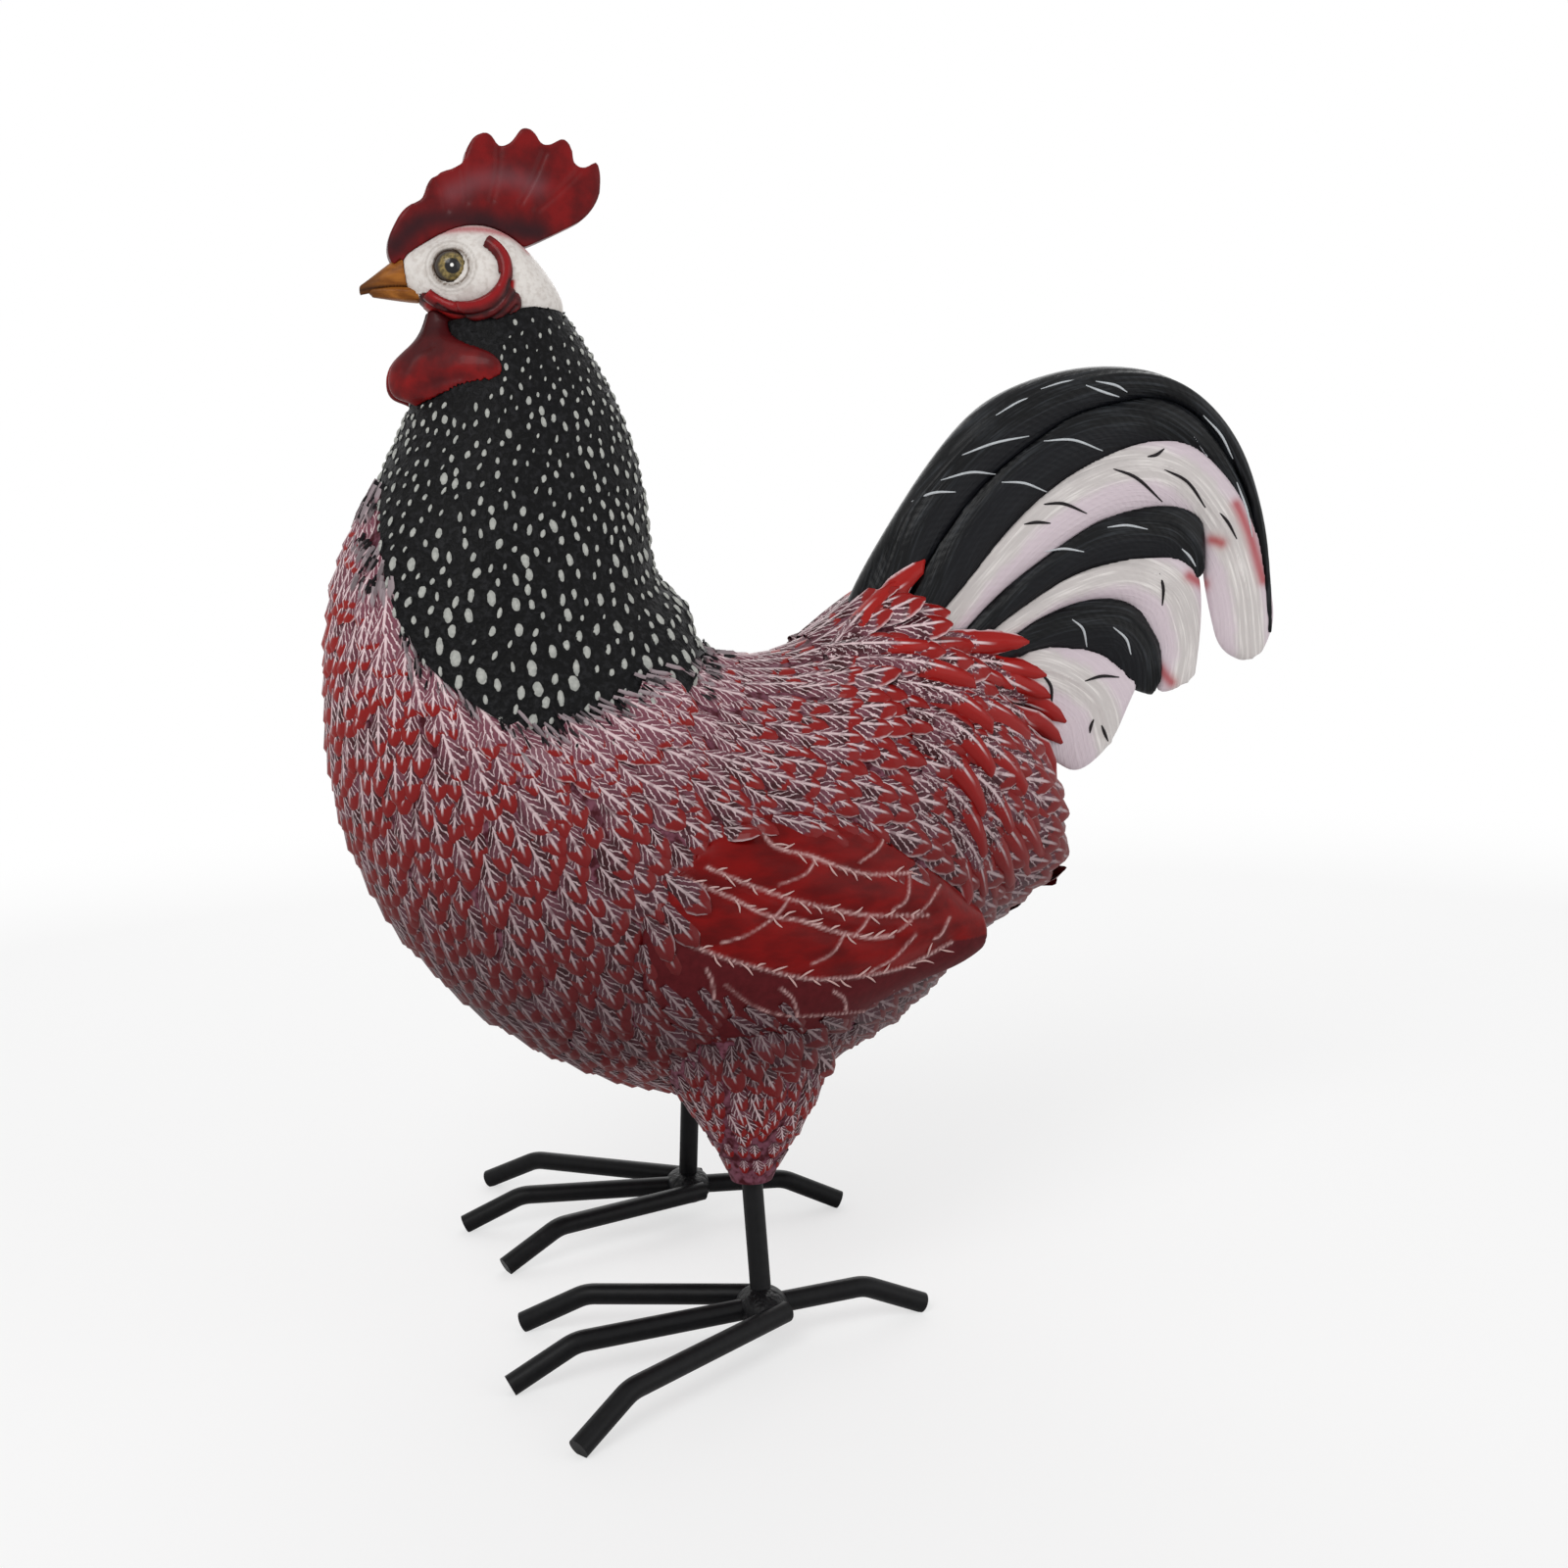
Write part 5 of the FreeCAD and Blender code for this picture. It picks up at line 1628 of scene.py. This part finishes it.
def red_skin_paint():
    paint = Paint("red_skin_paint")
    grain = paint.noise(3.5 * MM)
    folds = paint.blend(grain, 0.3, 0.7, rgb(52, 6, 9), rgb(98, 16, 18))
    colour = paint.mix(paint.attribute("ridge"), folds, rgb(136, 12, 17))
    grooved = paint.mix(paint.attribute("groove"), colour, rgb(38, 5, 8))
    return paint.finish(grooved, 0.38, bump=grain, depth=0.2 * MM, coat=0.15)


RED_SKIN = red_skin_paint()
for side in ("left", "right"):
    ring = Carving(side + "_face_ring", voxel=0.45 * MM)
    fold_away, ridge_away = ring.near(RING_FOLDS), ring.near([RING_RIDGE])
    cheek = np.clip((ridge_away - CHEEK_START) / CHEEK_SLOPE, 0, 1)
    cheek *= inside(RING_RIDGE, ring.pixels) & (ring.pixels[:, 1] > CHEEK_BELOW)
    ring.height = -CREASE_DEPTH * bell(fold_away, CREASE_WIDTH)
    ring.points[:, 1] -= np.sign(ring.points[:, 1]) * RING_SINK * cheek
    ring.mark("groove", bell(fold_away, GROOVE_WIDTH))
    ring.mark("ridge", bell(ridge_away, RIDGE_WIDTH))
    ring.finish(side + "_face_ring_carved", "red_skin", RED_SKIN)

# %% [markdown]
# ## Beak
#
# The beak is horn, ochre with streaks along it and darker at the tip. It is closed: the top of the
# lower half is raised until it meets the upper one, and a dark line marks the mouth.

# %% Beak
MOUTH_LINE = [(364, 297), (380, 294), (400, 292), (422, 292)]
MOUTH_CLOSE, MOUTH_WIDTH = 1.5 * MM, 0.5 * MM
BEAK_TIP = (-0.131, -0.122)


def beak_paint():
    paint = Paint("beak_paint")
    along, _, _ = paint.xyz(paint.place())
    streaks = paint.noise(1.6 * MM, stretch=(4, 1, 1))
    horn = paint.blend(streaks, 0.25, 0.75, rgb(120, 68, 24), rgb(166, 104, 42))
    tip = paint.mix(paint.ramp(along, *BEAK_TIP, 1.0, 0.0), horn, rgb(92, 54, 24))
    mouth = paint.mix(paint.attribute("mouth"), tip, rgb(52, 28, 14))
    return paint.finish(mouth, 0.4, bump=streaks, depth=0.15 * MM)


BEAK_PAINT = beak_paint()
for node in ("upper_beak", "lower_beak"):
    beak = Carving(node, voxel=0.4 * MM)
    if node == "lower_beak":
        beak.height = MOUTH_CLOSE * np.clip(beak.normals[:, 2] * 1.5, 0, 1)
    beak.mark("mouth", bell(beak.near([MOUTH_LINE], 8), MOUTH_WIDTH))
    beak.finish(node + "_carved", "ochre_beak", BEAK_PAINT)

# %% [markdown]
# ## Comb and wattles
#
# Both are thick skin. The comb is darker near the head, has a painted sheen, a pale highlight in its
# colour, across its middle, and is creased below the notches between its teeth. The wattles are red,
# with painted shade over their upper part under the head, and two shallow hollows painted darker. One
# paint function makes both, because only the colours and the marks differ.

# %% The paint of comb and wattles
def flesh_paint(name, lumps, dull, bright, tints):
    """Blotched red skin. Each tint is a mark of the carving, its strength and its colour."""
    paint = Paint(name)
    colour = paint.blend(paint.noise(lumps), 0.3, 0.7, dull, bright)
    for mark, strength, tint in tints:
        colour = paint.mix(paint.calc("MULTIPLY", paint.attribute(mark), strength), colour, tint)
    return paint.finish(colour, 0.4, bump=paint.noise(3 * MM), depth=0.1 * MM, coat=0.06)


# The comb's sheen is a painted highlight, pale in the colour.
COMB_PAINT = flesh_paint("comb_paint", 7.0 * MM, rgb(80, 7, 10), rgb(118, 13, 15), (
    ("dark_base", 0.85, rgb(34, 14, 20)), ("painted_sheen", 0.5, rgb(116, 70, 76)),
))
# The wattle's upper tint is painted shade under the head.
WATTLE_PAINT = flesh_paint("wattle_paint", 6.0 * MM, rgb(86, 8, 11), rgb(126, 15, 16), (
    ("upper", 1.0, rgb(42, 8, 12)), ("hollow", 0.6, rgb(56, 8, 13)),
))

# %% Comb
COMB_CREASES = (
    [(446, 180), (452, 196), (456, 214)],
    [(470, 160), (474, 182), (476, 206)],
    [(509, 152), (508, 176), (502, 204)],
    [(556, 156), (546, 180), (532, 206)],
    [(590, 176), (572, 194), (548, 214)],
)
COMB_BASE = [(402, 250), (430, 226), (470, 222), (520, 232), (548, 238)]
PAINTED_SHEEN_LINE = [(462, 196), (490, 184), (520, 182), (548, 190)]
COMB_CREASE_DEPTH, COMB_CREASE_WIDTH = 0.5 * MM, 1.1 * MM
DARK_BASE_WIDTH, PAINTED_SHEEN_WIDTH = 4.0 * MM, 3.2 * MM

comb = Carving("comb", voxel=0.6 * MM)
comb.height = -COMB_CREASE_DEPTH * bell(comb.near(COMB_CREASES, 10), COMB_CREASE_WIDTH)
# Darker near the head.
comb.mark("dark_base", bell(comb.near([COMB_BASE], 10), DARK_BASE_WIDTH))
# Painted highlight: the pale sheen along the comb's middle.
comb.mark("painted_sheen", bell(comb.near([PAINTED_SHEEN_LINE], 10), PAINTED_SHEEN_WIDTH))
comb.finish("comb_carved", "red_skin", COMB_PAINT)

# %% Wattles
WATTLE_RED_BELOW, WATTLE_BLEND, WATTLE_DARKEST = 378, 45, 0.85
HOLLOW_DEPTH, HOLLOW_WIDTH, HOLLOW_DARK_WIDTH = 0.6 * MM, 1.6 * MM, 1.8 * MM
WATTLE_HOLLOWS = (
    [(412, 378), (422, 362), (438, 352)],
    [(430, 396), (450, 388), (470, 384)],
)

for side in ("left", "right"):
    wattle = Carving(side + "_wattle", voxel=0.5 * MM)
    hollow_away = wattle.near(WATTLE_HOLLOWS, 10)
    wattle.height = -HOLLOW_DEPTH * bell(hollow_away, HOLLOW_WIDTH)
    # The hollows are painted darker.
    wattle.mark("hollow", bell(hollow_away, HOLLOW_DARK_WIDTH))
    # Painted shade: the upper part of the wattle, under the head, is darker.
    upper = (WATTLE_RED_BELOW - wattle.pixels[:, 1]) / WATTLE_BLEND
    wattle.mark("upper", np.clip(upper, 0, WATTLE_DARKEST))
    wattle.finish(side + "_wattle_carved", "red_skin", WATTLE_PAINT)

# %% [markdown]
# ## Feet
#
# The legs and toes are bent steel rod, welded in a lump at the ankle and painted satin black.

# %% Rods and welds
def rod_paint(name, lumps, depth):
    """Satin black over lumps of this size and depth."""
    paint = Paint(name)
    grain = paint.noise(lumps)
    colour = paint.mix(grain, rgb(6, 6, 7), rgb(20, 20, 22))
    return paint.finish(colour, 0.42, bump=grain, depth=depth, gloss=0.14)


ROD_PAINT = rod_paint("rod_paint", 2.5 * MM, 0.1 * MM)
WELD_PAINT = rod_paint("weld_paint", 3.0 * MM, 1.2 * MM)
for side in ("left", "right"):
    for part in ("leg_rod", "middle_toe", "inner_toe", "outer_toe"):
        repaint(f"{side}_{part}", ROD_PAINT)
    repaint(side + "_ankle_weld", WELD_PAINT)
